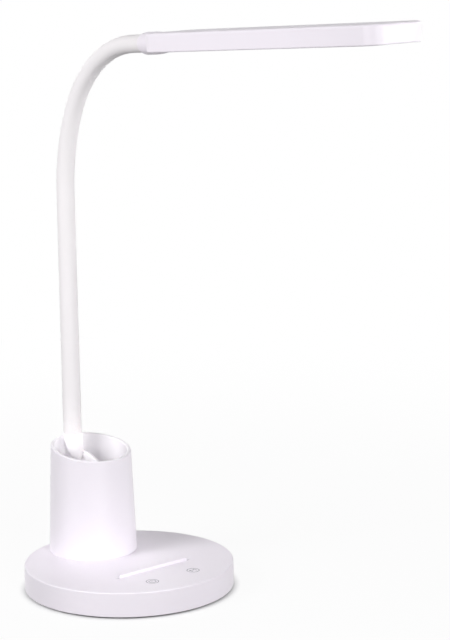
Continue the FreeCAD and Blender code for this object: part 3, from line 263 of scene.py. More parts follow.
@dataclass(frozen=True)
class Finish:
    """A surface finish with its own colour, gloss and relief."""

    slot: str
    colour: Colour
    shade: Colour
    roughness: float
    spread: float = 0.05
    grain: Grain = Grain.SPARKED
    grain_mm: float = 0.35
    depth_mm: float = 0.006
    metallic: float = 0.0
    specular: float = 0.5
    coat: float = 0.0
    sheen: float = 0.0
    subsurface: float = 0.0
    coat_roughness: ClassVar[float] = 0.12
    scatter: ClassVar[Triple] = (0.0012, 0.0011, 0.001)
    relief_strength: ClassVar[float] = 0.6
    clouds_per_metre: ClassVar[float] = 22.0
    marks_per_metre: ClassVar[float] = 60.0

    def relief(self, tree: ShaderTree) -> Signal:
        """The height of the surface's fine relief.

        Args:
            tree: The material's nodes.

        Returns:
            A height from about 0 to 1.
        """
        per_metre = 1.0 / (self.grain_mm * MM)
        match self.grain:
            case Grain.DRAWN:
                return tree.noise(1.0, 3.0, tree.stretched((per_metre, per_metre, per_metre * 0.04)))
            case Grain.FOAMED:
                return tree.cells(per_metre)
            case Grain.ETCHED:
                x, y, _ = tree.axes()
                lines = (x + y * 0.5) * per_metre
                return lines.folded(1.0).eased(0.35, 0.5)
            case Grain.WOUND:
                _, _, z = tree.axes()
                return (z * per_metre + tree.noise(40.0) * 0.4).folded(1.0)
            case Grain.CREASED:
                return tree.noise(per_metre * 0.1, 4.0) ** 2.0
            case Grain.RUBBED:
                return tree.noise(per_metre, 1.0) * 0.6 + tree.noise(per_metre * 0.07, 2.0) * 0.8
            case _:
                return tree.noise(per_metre, 2.0)

    def tone(self, tree: ShaderTree, relief: Signal) -> Signal:
        """How far the colour turns from its main tone to its shade, from 0 to 1."""
        clouds = tree.noise(self.clouds_per_metre, 3.0).eased(0.35, 0.75)
        return clouds * 0.6 + relief * 0.4

    def gloss(self, tree: ShaderTree, relief: Signal) -> Signal:
        """The roughness over the surface."""
        handled = tree.noise(self.marks_per_metre, 4.0) - 0.5
        return self.roughness + handled * (2.0 * self.spread) + (relief - 0.5) * (0.6 * self.spread)

    def accent(self, tree: ShaderTree) -> tuple[Colour, Signal] | None:
        """A further colour and its share over the surface, in the finishes that have one."""
        return None

    @cache
    def material(self) -> bpy.types.Material:
        """The finish as a material, made once.

        Returns:
            The material, named after its slot.
        """
        made = bpy.data.materials.new(self.slot)
        made.use_nodes = True
        tree = ShaderTree(made.node_tree)
        relief = self.relief(tree)
        colour = tree.blended(self.colour, self.shade, self.tone(tree, relief))
        accent = self.accent(tree)
        if accent is not None:
            colour = tree.blended(colour, *accent)
        height = {"Height": relief, "Strength": self.relief_strength, "Distance": self.depth_mm * MM}
        bump = tree.node("ShaderNodeBump", {}, height)
        surface = tree.node(
            "ShaderNodeBsdfPrincipled",
            {},
            {
                "Base Color": colour,
                "Roughness": self.gloss(tree, relief),
                "Metallic": self.metallic,
                "Specular IOR Level": self.specular,
                "Coat Weight": self.coat,
                "Coat Roughness": self.coat_roughness,
                "Sheen Weight": self.sheen,
                "Subsurface Weight": self.subsurface,
                "Subsurface Radius": self.scatter,
                "Subsurface Scale": 1.0,
                "Normal": bump.outputs[0],
            },
        )
        tree.node("ShaderNodeOutputMaterial", {}, {"Surface": surface.outputs[0]})
        return made


@dataclass(frozen=True)
class FrostedFinish(Finish):
    """Frosted acrylic, with the LEDs behind it just showing as warm spots."""

    pitch: Pair = (9.0, 12.4)  # between LEDs, across and along
    far_led: float = 201.0
    spot: Colour = (0.90, 0.86, 0.70)
    spot_edges: Pair = (3.6, 0.6)  # where a spot starts, and where it is full
    spot_share: float = 0.35

    def accent(self, tree: ShaderTree) -> tuple[Colour, Signal]:
        """A warmer spot over each LED.

        Args:
            tree: The material's nodes.

        Returns:
            The colour and its share.
        """
        x, y, _ = tree.axes()
        across, along = (p * MM for p in self.pitch)
        from_row = (x + 9.0 * across).folded(across / 2)
        from_column = (y + self.far_led * MM).folded(along / 2)
        distance = (from_row * from_row + from_column * from_column) ** 0.5
        outer, inner = (edge * MM for edge in self.spot_edges)
        return self.spot, distance.eased(outer, inner) * self.spot_share


@dataclass(frozen=True)
class ShellFinish(Finish):
    """A satin moulding with soft rub marks in its gloss and painted shade, a dark colour, in the phone rest's
    groove.
    """

    rub: float = 0.05
    rub_stretch: Triple = (35.0, 90.0, 35.0)
    groove: tuple[float, ...] = (31.0, -24.0, 1.1, BASE_TOP_Z)  # half length, y, half width, top
    # Painted shade: the dark colour put on the groove's floor, where shade falls.
    painted_groove_shade: Colour = (0.42, 0.40, 0.44)
    painted_shade_edge: Pair = (0.15, 0.5)  # depths between which the painted shade starts
    painted_shade_floor: Pair = (2.0, 1.8)  # depths between which it ends again

    def accent(self, tree: ShaderTree) -> tuple[Colour, Signal]:
        """Painted shade: a dark colour on the floor of the phone rest's groove.

        Args:
            tree: The material's nodes.

        Returns:
            The colour and its share.
        """
        # Where the painted shade lies: on the groove's floor, between two depths.
        reach, middle, half, top = (p * MM for p in self.groove)
        x, y, z = tree.axes()
        across = (y - middle).size().eased(half, half * 0.8)
        along = x.size().eased(reach, reach * 0.98)
        under_edge = z.eased(*(top - deep * MM for deep in self.painted_shade_edge))
        over_floor = z.eased(*(top - deep * MM for deep in self.painted_shade_floor))
        return self.painted_groove_shade, across * along * (under_edge * over_floor)

    def gloss(self, tree: ShaderTree, relief: Signal) -> Signal:
        """The roughness, raised in soft curved rub marks."""
        marks = tree.noise(1.0, 2.0, tree.stretched(self.rub_stretch)).eased(0.40, 0.90)
        return super().gloss(tree, relief) + marks * self.rub


@dataclass(frozen=True)
class CupFinish(Finish):
    """The cup's moulding, with painted light: a paler colour on the inside of its wall, above the floor."""

    # Painted light: a paler colour inside the cup, which stands in for the light inside it.
    inside: Colour = (0.935, 0.91, 0.945)
    wall_edges: Pair = (25.0, 23.6)  # radii between which it turns paler
    floor_edges: Pair = (20.0, 24.0)  # heights between which it does so

    def accent(self, tree: ShaderTree) -> tuple[Colour, Signal]:
        """Painted light: the paler colour of the cup's inside.

        Args:
            tree: The material's nodes.

        Returns:
            The colour and its share.
        """
        x, y, z = tree.axes()
        off = y - CUP_Y * MM
        reach = (x * x + off * off) ** 0.5
        painted_light_wall = reach.eased(*(edge * MM for edge in self.wall_edges))
        over_floor = z.eased(*(edge * MM for edge in self.floor_edges))
        return self.inside, painted_light_wall * over_floor


def finishes() -> dict[str, Finish]:
    """Every finish of the lamp.

    Returns:
        The finishes by the record's material slot.
    """
    made = [
        ShellFinish("white_shell", (0.868, 0.822, 0.888), (0.850, 0.805, 0.870), 0.40, spread=0.03,
                    grain_mm=0.5, depth_mm=0.003, specular=0.4),
        CupFinish("white_cup", (0.843, 0.803, 0.862), (0.828, 0.788, 0.847), 0.34, grain_mm=0.4),
        Finish("white_head", (0.882, 0.836, 0.902), (0.866, 0.820, 0.886), 0.42, grain_mm=0.4,
               specular=0.25),
        Finish("white_silicone", (0.892, 0.864, 0.882), (0.872, 0.845, 0.858), 0.58, grain=Grain.RUBBED,
               grain_mm=0.3, depth_mm=0.010, sheen=0.08, specular=0.35),
        FrostedFinish("frosted_panel", (0.88, 0.88, 0.865), (0.865, 0.865, 0.85), 0.5, grain_mm=0.25,
                      depth_mm=0.012, subsurface=0.15),
        Finish("reflector_white", (0.88, 0.88, 0.88), (0.85, 0.85, 0.85), 0.6),
        Finish("pad_rubber", (0.075, 0.075, 0.08), (0.055, 0.055, 0.06), 0.75, grain=Grain.RUBBED,
               grain_mm=0.6, depth_mm=0.03, specular=0.3),
        Finish("foam", (0.05, 0.05, 0.055), (0.03, 0.03, 0.035), 0.9, grain=Grain.FOAMED, grain_mm=0.5,
               depth_mm=0.08),
        Finish("printed_mark", (0.25, 0.24, 0.28), (0.31, 0.30, 0.34), 0.4, grain_mm=0.12, depth_mm=0.004),
        Finish("steel", (0.56, 0.56, 0.58), (0.48, 0.48, 0.50), 0.35, grain=Grain.DRAWN, grain_mm=0.3,
               metallic=1.0),
        Finish("hose_coat", (0.84, 0.82, 0.84), (0.80, 0.78, 0.80), 0.42, grain=Grain.WOUND, grain_mm=2.2,
               depth_mm=0.03),
        Finish("zinc", (0.70, 0.70, 0.72), (0.60, 0.61, 0.66), 0.34, grain=Grain.DRAWN, grain_mm=0.2,
               metallic=1.0),
        Finish("circuit_board", (0.03, 0.16, 0.08), (0.06, 0.26, 0.13), 0.35, grain=Grain.ETCHED,
               grain_mm=0.8, depth_mm=0.03, coat=0.3),
        Finish("black_plastic", (0.03, 0.03, 0.033), (0.045, 0.045, 0.05), 0.5),
        Finish("cell_pouch", (0.62, 0.63, 0.66), (0.52, 0.53, 0.56), 0.38, grain=Grain.CREASED,
               grain_mm=0.6, depth_mm=0.15, metallic=0.8),
        Finish("tape", (0.78, 0.74, 0.50), (0.70, 0.66, 0.42), 0.6, grain=Grain.RUBBED),
        Finish("wire_jacket", (0.60, 0.05, 0.05), (0.50, 0.035, 0.035), 0.45, grain=Grain.RUBBED,
               grain_mm=0.2),
        Finish("led_aluminium", (0.85, 0.85, 0.85), (0.78, 0.78, 0.78), 0.4, grain=Grain.DRAWN,
               grain_mm=0.3),
        Finish("led_phosphor", (0.90, 0.74, 0.20), (0.85, 0.66, 0.12), 0.45, grain=Grain.FOAMED,
               grain_mm=0.1, depth_mm=0.01),
    ]
    return {finish.slot: finish for finish in made}


# ---- mesh building ----------------------------------------------------------------------------------
class Cut(Enum):
    """How one form is joined with another."""

    ADD = "UNION"
    TAKE = "DIFFERENCE"


class Bench:
    """Makes forms in millimetres and hands them over as objects in metres."""

    pilot_points: ClassVar[int] = 24
    weld: ClassVar[float] = 1e-7

    @staticmethod
    def skin(name: str, rings: Sequence[Ring], looped: bool = False) -> bpy.types.Object:
        """A closed surface over a row of rings with the same number of points.

        Args:
            name: The object's name.
            rings: The rings, in millimetres.
            looped: Whether the last ring joins the first, as on a tube; otherwise both ends are capped.

        Returns:
            An object that is linked to the scene.
        """
        made = bmesh.new()
        rows = [[made.verts.new(point * MM) for point in ring] for ring in rings]
        count = len(rows[0])
        pairs = list(zip(rows, rows[1:]))
        if looped:
            pairs.append((rows[-1], rows[0]))
        for low, high in pairs:
            for i in range(count):
                j = (i + 1) % count
                made.faces.new((low[i], low[j], high[j], high[i]))
        if not looped:
            made.faces.new(list(reversed(rows[0])))
            made.faces.new(rows[-1])
        bmesh.ops.recalc_face_normals(made, faces=made.faces)
        mesh = bpy.data.meshes.new(name)
        made.to_mesh(mesh)
        made.free()
        piece = bpy.data.objects.new(name, mesh)
        bpy.context.scene.collection.objects.link(piece)
        return piece

    @staticmethod
    def circle(radius: float, z: float, x: float = 0.0, y: float = 0.0, count: int = 48) -> Ring:
        """A level ring of points."""
        turns = (2 * math.pi * i / count for i in range(count))
        return [Vector((x + radius * math.cos(t), y + radius * math.sin(t), z)) for t in turns]

    @classmethod
    def post(cls, name: str, radius: float, low: float, high: float, x: float = 0.0, y: float = 0.0,
             count: int = 32) -> bpy.types.Object:
        """An upright round post, or the cutter for a round hole."""
        return cls.skin(name, [cls.circle(radius, z, x, y, count) for z in (low, high)])

    @staticmethod
    def rounded(half: float, near: float, far: float, corner: float, z: float, steps: int = 12) -> Ring:
        """A level outline with round corners, centred on x = 0.

        Args:
            half: Half its width.
            near: How far towards -Y it starts.
            far: How far towards -Y it ends.
            corner: The corners' radius.
            z: Its height.
            steps: Spans in each corner.

        Returns:
            The outline.
        """
        centres = (
            (half - corner, -near - corner, 0.0),
            (corner - half, -near - corner, 0.25),
            (corner - half, corner - far, 0.5),
            (half - corner, corner - far, 0.75),
        )
        ring = []
        for x, y, start in centres:
            for step in range(steps + 1):
                turn = 2 * math.pi * (start + 0.25 * step / steps)
                ring.append(Vector((x + corner * math.cos(turn), y + corner * math.sin(turn), z)))
        return ring

    @staticmethod
    def outline(points: Iterable[Pair], z: float) -> Ring:
        """A level outline through plan points."""
        return [Vector((x, y, z)) for x, y in points]

    @classmethod
    def block(cls, name: str, low: Triple, high: Triple) -> bpy.types.Object:
        """A block between two corners, for joining into another form."""
        plan = [(low[0], low[1]), (high[0], low[1]), (high[0], high[1]), (low[0], high[1])]
        return cls.skin(name, [cls.outline(plan, low[2]), cls.outline(plan, high[2])])

    @staticmethod
    def joined(target: bpy.types.Object, tools: Sequence[bpy.types.Object], cut: Cut) -> None:
        """Join other forms to a form, or take them out of it; they are used up.

        Args:
            target: The form that stays.
            tools: The forms that are added or taken away.
            cut: Which of the two.
        """
        for tool in tools:
            step = target.modifiers.new("join", "BOOLEAN")
            step.operation = cut.value
            step.solver = "EXACT"
            step.object = tool
        Bench.settle(target)
        for tool in tools:
            mesh = tool.data
            bpy.data.objects.remove(tool)
            bpy.data.meshes.remove(mesh)

    @staticmethod
    def settle(piece: bpy.types.Object) -> None:
        """Turn a piece's modifiers into plain mesh.

        Args:
            piece: The piece that gets the new mesh.
        """
        bpy.context.view_layer.update()
        graph = bpy.context.evaluated_depsgraph_get()
        mesh = bpy.data.meshes.new_from_object(piece.evaluated_get(graph))
        old = piece.data
        piece.modifiers.clear()
        piece.data = mesh
        mesh.name = piece.name
        bpy.data.meshes.remove(old)

    @staticmethod
    def smooth(piece: bpy.types.Object, sharp_degrees: float = 28.0) -> None:
        """Shade a piece smooth, with crease lines where faces turn sharply and large flat faces kept flat.

        Args:
            piece: The piece; its mesh is tidied and gets its final normals.
            sharp_degrees: The turn from which an edge is a crease.
        """
        work = bmesh.new()
        work.from_mesh(piece.data)
        bmesh.ops.remove_doubles(work, verts=work.verts, dist=Bench.weld)
        bmesh.ops.dissolve_degenerate(work, edges=work.edges, dist=Bench.weld)
        for face in work.faces:
            face.smooth = True
        work.to_mesh(piece.data)
        work.free()
        piece.data.set_sharp_from_angle(angle=math.radians(sharp_degrees))
        even = piece.modifiers.new("even", "WEIGHTED_NORMAL")
        even.mode = "FACE_AREA"
        even.weight = 50
        even.keep_sharp = True
        Bench.settle(piece)


def arc(centre: Pair, radius: float, start: float, end: float, steps: int) -> list[Pair]:
    """Points on an arc in a section plane.

    Args:
        centre: (radius, height) of the arc's centre.
        radius: The arc's radius.
        start: The first angle in degrees, from the outward direction.
        end: The last angle.
        steps: How many spans.

    Returns:
        The points as (radius, height).
    """
    turns = (math.radians(start + (end - start) * i / steps) for i in range(steps + 1))
    return [(centre[0] + radius * math.cos(t), centre[1] + radius * math.sin(t)) for t in turns]


def on_circle(radius: float, degrees: float, x: float = 0.0, y: float = 0.0) -> Pair:
    """The plan position at an angle on a circle."""
    turn = math.radians(degrees)
    return x + radius * math.cos(turn), y + radius * math.sin(turn)


def cup_bosses() -> list[Pair]:
    """The plan positions of the three bosses that fix the cup to the base."""
    return [on_circle(CUP_BOSS_CIRCLE, turn, 0.0, CUP_Y) for turn in CUP_BOSS_TURNS]


@dataclass
class Dresser:
    """Gives pieces their finish and their body, and reports them."""

    nodes: dict[str, bpy.types.Object]
    record: dict
    finishes: dict[str, Finish]

    def finish(self, piece: bpy.types.Object, slot: str) -> None:
        """Paint a new piece with a slot's finish.

        Args:
            piece: The piece.
            slot: The record's material slot.
        """
        piece.data.materials.clear()
        piece.data.materials.append(self.finishes[slot].material())

    def fit(self, piece: bpy.types.Object, slot: str, body: str, *stands_for: str) -> None:
        """Finish a new piece, let it ride on its body and let it stand for CAD nodes.

        Args:
            piece: The piece, in place.
            slot: Its material slot.
            body: The CAD body that it rides on.
            *stands_for: The CAD nodes that it replaces.
        """
        self.finish(piece, slot)
        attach(piece, body)
        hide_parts(*stands_for)
        LOG.info("%s: %d faces, rides on %s", piece.name, len(piece.data.polygons), body)

    def carry(self, *names: str) -> None:
        """Keep CAD nodes as they are and give each its slot's finish.

        Args:
            *names: The nodes.
        """
        slots = {part["node"]: part["material_slot"] for part in self.record["subparts"]}
        for name in names:
            node = self.nodes[name]
            for index in range(len(node.data.materials)):
                node.data.materials[index] = self.finishes[slots[name]].material()
            LOG.info("%s: carried over with finish %s", name, slots[name])


# ---- base -------------------------------------------------------------------------------------------
@dataclass
class Base:
    """The weighted base: cover, bottom, rubber pad, phone rest and touch marks."""

    radius: float = 65.0
    foot_z: float = 1.0
    top_z: float = BASE_TOP_Z
    wall: float = 2.0
    roof: float = 2.2
    roof_corner: float = 0.6
    top_round: float = 0.8
    foot_round: float = 0.35
    segments: int = 240
    pillar_circle: float = 56.0
    pillar_turns: tuple[float, ...] = (30.0, 150.0, 210.0, 330.0)
    pillar_r: float = 3.2
    pillar_foot: float = 3.6
    pillar_pilot: Triple = (1.3, 3.0, 10.0)  # radius, bottom and top
    post_at: Pair = (34.2, 30.76)  # of the four posts on the weight, either side
    post_r: float = 2.5
    post_foot: float = 7.6
    board_bosses: tuple[Pair, ...] = ((0.0, -50.5), (22.0, -32.0), (-22.0, -32.0))
    board_boss_high: float = 3.6
    board_pilot: Triple = (1.0, 8.8, 13.7)  # radius, bottom and top
    cup_hole_r: float = 3.05
    rest_y: float = -24.0
    rest_half: float = 26.4
    rest_thick: float = 1.5
    rest_proud: float = 1.9
    rest_round: float = 0.3
    rest_corner: float = 0.34
    groove_deep: float = 1.2
    groove_play: float = 0.05
    groove_tip: float = 3.4
    groove_lip: float = 0.14
    port_z: float = 6.6
    port_size: Pair = (9.64, 3.9)  # width and height
    port_levels: tuple[Pair, ...] = ((0.0, -3.0), (0.0, -0.55), (0.7, 0.6))  # growth, and place past the wall

    def build(self, dresser: Dresser) -> None:
        """Make and dress every piece of the base.

        Args:
            dresser: Gives the pieces their finishes and bodies.
        """
        dresser.fit(self.cover(), "white_shell", "base", "base_cover")
        dresser.fit(self.rest_bar(), "white_shell", "base", "phone_rest")
        dresser.carry("bottom_cover", "base_screws", "foot_pad", "touch_marks", "charging_inlet",
                      "inlet_board", "inlet_lead", "ballast_plate", "battery_cell", "battery_tape",
                      "battery_lead", "control_board", "board_parts", "board_screws", "touch_pads",
                      "cup_screws", "neck_anchor", "neck_nut", "lead_root")

    def cover(self) -> bpy.types.Object:
        """The top cover: a shallow round tub, open below.

        Returns:
            The piece.
        """
        roof_z = self.top_z - self.roof
        inner = self.radius - self.wall
        soft = self.foot_round
        edge = self.radius - self.top_round
        corner = self.roof_corner
        profile = [(inner - corner, roof_z), (inner, roof_z - corner), (inner, self.foot_z)]
        profile += arc((self.radius - soft, self.foot_z + soft), soft, -90.0, 0.0, 4)
        profile += [(self.radius, z) for z in (5.0, 10.0)]
        profile += arc((edge, self.top_z - self.top_round), self.top_round, 0.0, 90.0, 10)
        shell = Bench.skin("base_shell", [Bench.circle(r, z, count=self.segments) for r, z in profile])
        Bench.joined(shell, self._pillars(roof_z), Cut.ADD)
        Bench.joined(shell, [*self._holes(roof_z), self._groove(), self._port()], Cut.TAKE)
        Bench.smooth(shell)
        return shell

    def _pillars(self, roof_z: float) -> list[bpy.types.Object]:
        """The pillars that the base screws grip and the posts that press on the weight.

        Args:
            roof_z: The height of the cover's underside.

        Returns:
            The forms to join to the cover.
        """
        across, along = self.post_at
        top = roof_z + OVERLAP
        posts = [(self.pillar_r, self.pillar_foot, top, *place) for place in self._pillar_places()]
        posts += [(self.post_r, self.post_foot, top, x, y) for x in (-across, across) for y in (-along, along)]
        posts += [(self.post_r, roof_z - self.board_boss_high, top, *place) for place in self.board_bosses]
        return [Bench.post("post", *post) for post in posts]

    def _pillar_places(self) -> list[Pair]:
        """The plan positions of the pillars for the base screws."""
        return [on_circle(self.pillar_circle, turn) for turn in self.pillar_turns]

    def _holes(self, roof_z: float) -> list[bpy.types.Object]:
        """The holes for the cup's bosses, the neck's stud and the screws.

        Args:
            roof_z: The height of the cover's underside.

        Returns:
            The forms to take out of the cover.
        """
        through = (roof_z - THROUGH, self.top_z + THROUGH)
        holes = [(STUD_HOLE_R, *through, 0.0, NECK_Y)]
        holes += [(self.cup_hole_r, *through, *place) for place in cup_bosses()]
        holes += [(*self.pillar_pilot, *place) for place in self._pillar_places()]
        holes += [(*self.board_pilot, *place) for place in self.board_bosses]
        return [Bench.post("hole", *hole) for hole in holes]

    def _groove(self) -> bpy.types.Object:
        """The phone rest's groove with its pointed ends, a little wider at its lip.

        Returns:
            The form to take out of the cover.
        """
        play, lip = self.groove_play, self.groove_lip
        levels = ((play, self.top_z - self.groove_deep), (play, self.top_z - lip),
                  (play + lip, self.top_z), (play + lip, self.top_z + OVERLAP))
        rings = []
        for widen, z in levels:
            half = self.rest_thick / 2 + widen
            straight = self.rest_half + widen
            tip = straight + self.groove_tip
            front = [(-tip, 0.0), (-straight, -half), (straight, -half)]
            plan = front + [(-x, -y) for x, y in front]
            rings.append([Vector((x, self.rest_y + y, z)) for x, y in plan])
        return Bench.skin("groove", rings)

    def _port(self) -> bpy.types.Object:
        """The stadium opening for the charging inlet, through the back wall, flared at its mouth.

        Returns:
            The form to take out of the cover.
        """
        width, height = self.port_size
        half = (width - height) / 2
        rings = []
        for grow, past in self.port_levels:
            ring = []
            for side, start in ((half, -90.0), (-half, 90.0)):
                turned = arc((side, self.port_z), height / 2 + grow, start, start + 180.0, 12)
                ring += [Vector((x, self.radius + past, z)) for x, z in turned]
            rings.append(ring)
        return Bench.skin("port", rings)

    def rest_bar(self) -> bpy.types.Object:
        """The raised bar, with softened edges and ends.

        Returns:
            The piece.
        """
        half = self.rest_thick / 2
        top = self.top_z + self.rest_proud
        levels = [(0.0, self.top_z - self.groove_deep), (0.0, top - self.rest_round)]
        for i in range(1, 6):
            turn = math.radians(18.0 * i)
            drop = self.rest_round * (1 - math.sin(turn))
            levels.append((self.rest_round * (1 - math.cos(turn)), top - drop))
        rings = []
        for inset, z in levels:
            corner = self.rest_corner - 0.9 * inset
            ring = Bench.rounded(self.rest_half - inset, inset - half, half - inset, corner, z, 6)
            rings.append([Vector((p.x, p.y + self.rest_y, p.z)) for p in ring])
        bar = Bench.skin("phone_bar", rings)
        Bench.smooth(bar)
        return bar


# ---- pen cup ----------------------------------------------------------------------------------------
@dataclass
class PenCup:
    """The tapered cup with its partition and the collar that holds the neck."""

    y: float = CUP_Y
    foot_z: float = BASE_TOP_Z
    foot_r: float = 27.7
    rim_r: float = 25.2
    rim_z: float = 82.5
    rim_slope: float = 0.15
    rim_round: float = 0.9
    wall: float = 2.4
    floor: float = 2.4
    foot_soft: float = 0.3
    floor_round: float = 1.2
    segments: int = 144
    wall_steps: int = 10
    rib_x: float = 4.4
    rib_half: float = 1.2
    rib_top_z: float = 76.3
    rib_crest_y: float = 45.2
    rib_front_z: float = 64.3
    rib_edge: tuple[Pair, ...] = ((-1.0, 0.45), (-0.85, 0.13), (-0.62, 0.0),  # share of rib_half, drop
                                  (0.62, 0.0), (0.85, 0.13), (1.0, 0.45))
    neck_y: float = NECK_Y
    collar_r: float = 6.4
    collar_top_z: float = COLLAR_TOP_Z
    collar_front_z: float = 72.6
    collar_slope: float = 1.7
    collar_ring: float = 3.0
    collar_taper: float = 4.5
    collar_core_r: float = 0.4
    collar_points: int = 64
    sheath_r: float = 4.9
    sheath_drop: float = 1.5
    web_front: Pair = (4.3, 56.4)  # half width and y of its front
    web_turns: tuple[float, ...] = (68.0, 79.0, 90.0, 101.0, 112.0)
    web_drop: float = 2.9
    boss_r: float = 3.0
    boss_foot: float = 13.9
    pilot: Triple = (1.3, 13.0, 18.2)  # radius, bottom and top
    hose_bore: Triple = (HOSE_SEAT_R, 26.0, 95.0)  # radius, bottom and top
    crimp_seat: Pair = (5.45, 26.4)  # radius and top
    flange_seat: Pair = (6.15, 20.9)  # radius and top
    stud_hole: Triple = (STUD_HOLE_R, 10.0, 19.0)  # radius, bottom and top
    bore_points: int = 48

    def build(self, dresser: Dresser) -> None:
        """Make and dress the cup.

        Args:
            dresser: Gives the cup its finish and body.
        """
        cup = self.shell()
        Bench.joined(cup, [self.rib(), self.collar(), self._sheath(), self._web(), *self._bosses()], Cut.ADD)
        Bench.joined(cup, self._bores(), Cut.TAKE)
        Bench.smooth(cup, 32.0)
        dresser.fit(cup, "white_cup", "base", "pen_cup")

    def outer_r(self, z: float) -> float:
        """The outer radius at a height."""
        slope = (self.rim_r - self.foot_r) / (self.rim_z - self.foot_z)
        return self.foot_r + slope * (z - self.foot_z)

    def shell(self) -> bpy.types.Object:
        """The tapered wall with its floor and its sloping rounded rim, one section at each angle.

        Returns:
            The cup's shell, as a piece that the other forms are joined to.
        """
        floor_z = self.foot_z + self.floor
        columns = [self._section(2 * math.pi * i / self.segments, floor_z) for i in range(self.segments)]
        rings = [list(ring) for ring in zip(*columns)]
        return Bench.skin("pen_cup_body", rings)

    def _section(self, turn: float, floor_z: float) -> list[Vector]:
        """The wall's section at one angle, from the floor's edge over the rim to the foot.

        Args:
            turn: The angle round the cup, in radians.
            floor_z: The height of the cup's floor.

        Returns:
            The section's points.
        """
        rim_r = self.outer_r(self.rim_z)
        top = self.rim_z + self.rim_slope * rim_r * math.sin(turn)
        shoulder = top - self.rim_round
        outer = self.outer_r(shoulder)
        inner = outer - self.wall
        low_inner = self.outer_r(floor_z) - self.wall
        start, end = floor_z + self.floor_round, self.foot_z + self.foot_soft
        between = range(1, self.wall_steps)
        section = arc((low_inner - self.floor_round, start), self.floor_round, -90.0, 0.0, 5)
        rising = [start + (shoulder - start) * i / self.wall_steps for i in between]
        section += [(self.outer_r(z) - self.wall, z) for z in rising]
        section += arc((inner + self.rim_round, shoulder), self.rim_round, 180.0, 90.0, 7)
        section += arc((outer - self.rim_round, shoulder), self.rim_round, 90.0, 0.0, 7)
        falling = [shoulder + (end - shoulder) * i / self.wall_steps for i in between]
        section += [(self.outer_r(z), z) for z in falling]
        section += arc((self.foot_r - self.foot_soft, end), self.foot_soft, 0.0, -90.0, 3)
        across, along = math.cos(turn), math.sin(turn)
        return [Vector((r * across, self.y + r * along, z)) for r, z in section]

    def rib(self) -> bpy.types.Object:
        """The partition from the neck to the front wall, with a softened top edge.

        Returns:
            The form to join to the cup.
        """
        floor_z = self.foot_z + self.floor / 2
        front = self.y - self.outer_r(self.rib_front_z) + self.wall / 2
        foot_front = self.y - self.foot_r + self.wall / 2
        rings = []
        for x, drop in self.rib_edge:
            outline = [(self.neck_y, floor_z), (foot_front, floor_z), (front, self.rib_front_z - drop),
                       (self.rib_crest_y, self.rib_top_z - drop), (self.neck_y, self.rib_top_z - drop)]
            rings.append([Vector((self.rib_x + x * self.rib_half, y, z)) for y, z in outline])
        return Bench.skin("rib", rings)

    def collar(self) -> bpy.types.Object:
        """The boss round the neck, with its underside slanting down to the rib at its front.

        Returns:
            The form to join to the cup.
        """
        core, taper = self.collar_core_r, self.collar_taper
        bulge_r = 0.35 * self.sheath_r + 0.65 * self.collar_r
        round_z = self.collar_top_z - self.rim_round
        columns = []
        for i in range(self.collar_points):
            turn = 2 * math.pi * i / self.collar_points
            across, along = math.cos(turn), math.sin(turn)
            foot = self._collar_foot(self.collar_r * along)
            section = [(core, foot - taper), (self.sheath_r - 0.1, foot - taper),
                       (bulge_r, foot - 0.4 * taper), (self.collar_r, foot)]
            section += arc((self.collar_r - self.rim_round, round_z), self.rim_round, 0.0, 90.0, 7)
            section.append((core, self.collar_top_z))
            columns.append([Vector((r * across, self.neck_y + r * along, z)) for r, z in section])
        return Bench.skin("collar", [list(ring) for ring in zip(*columns)])

    def _collar_foot(self, along: float) -> float:
        """The height of the collar's underside at a distance behind its axis."""
        slanted = self.collar_front_z + self.collar_slope * (along + self.collar_r)
        return min(self.collar_top_z - self.collar_ring, slanted)

    def _sheath(self) -> bpy.types.Object:
        """The thin tube round the hose, from the floor up into the collar."""
        low, high = self.foot_z + THROUGH, self.collar_top_z - self.sheath_drop
        return Bench.post("sheath", self.sheath_r, low, high, 0.0, self.neck_y, self.collar_points)

    def _web(self) -> bpy.types.Object:
        """The web that joins the tube to the wall behind it.

        Returns:
            The form to join to the cup.
        """
        half, front = self.web_front
        rings = []
        for z in (self.foot_z + THROUGH, self.collar_top_z - self.web_drop):
            middle = self.outer_r(z) - self.wall / 2
            back = [on_circle(middle, turn, 0.0, self.y) for turn in self.web_turns]
            rings.append(Bench.outline([(-half, front), (half, front), *back], z))
        return Bench.skin("web", rings)

    def _bosses(self) -> list[bpy.types.Object]:
        """The three bosses under the floor."""
        top = self.foot_z + THROUGH
        return [Bench.post("boss", self.boss_r, self.boss_foot, top, *place) for place in cup_bosses()]

    def _bores(self) -> list[bpy.types.Object]:
        """The bore for the hose, the seat of its stud, and the screws' holes.

        Returns:
            The forms to take out of the cup.
        """
        floor_z = self.foot_z + self.floor
        crimp_r, crimp_top = self.crimp_seat
        flange_r, flange_top = self.flange_seat
        steps = (self.hose_bore, (crimp_r, floor_z, crimp_top), (flange_r, floor_z - 0.001, flange_top),
                 self.stud_hole)
        bores = [Bench.post("bore", *step, 0.0, self.neck_y, self.bore_points) for step in steps]
        return bores + [Bench.post("pilot", *self.pilot, *place, Bench.pilot_points) for place in cup_bosses()]


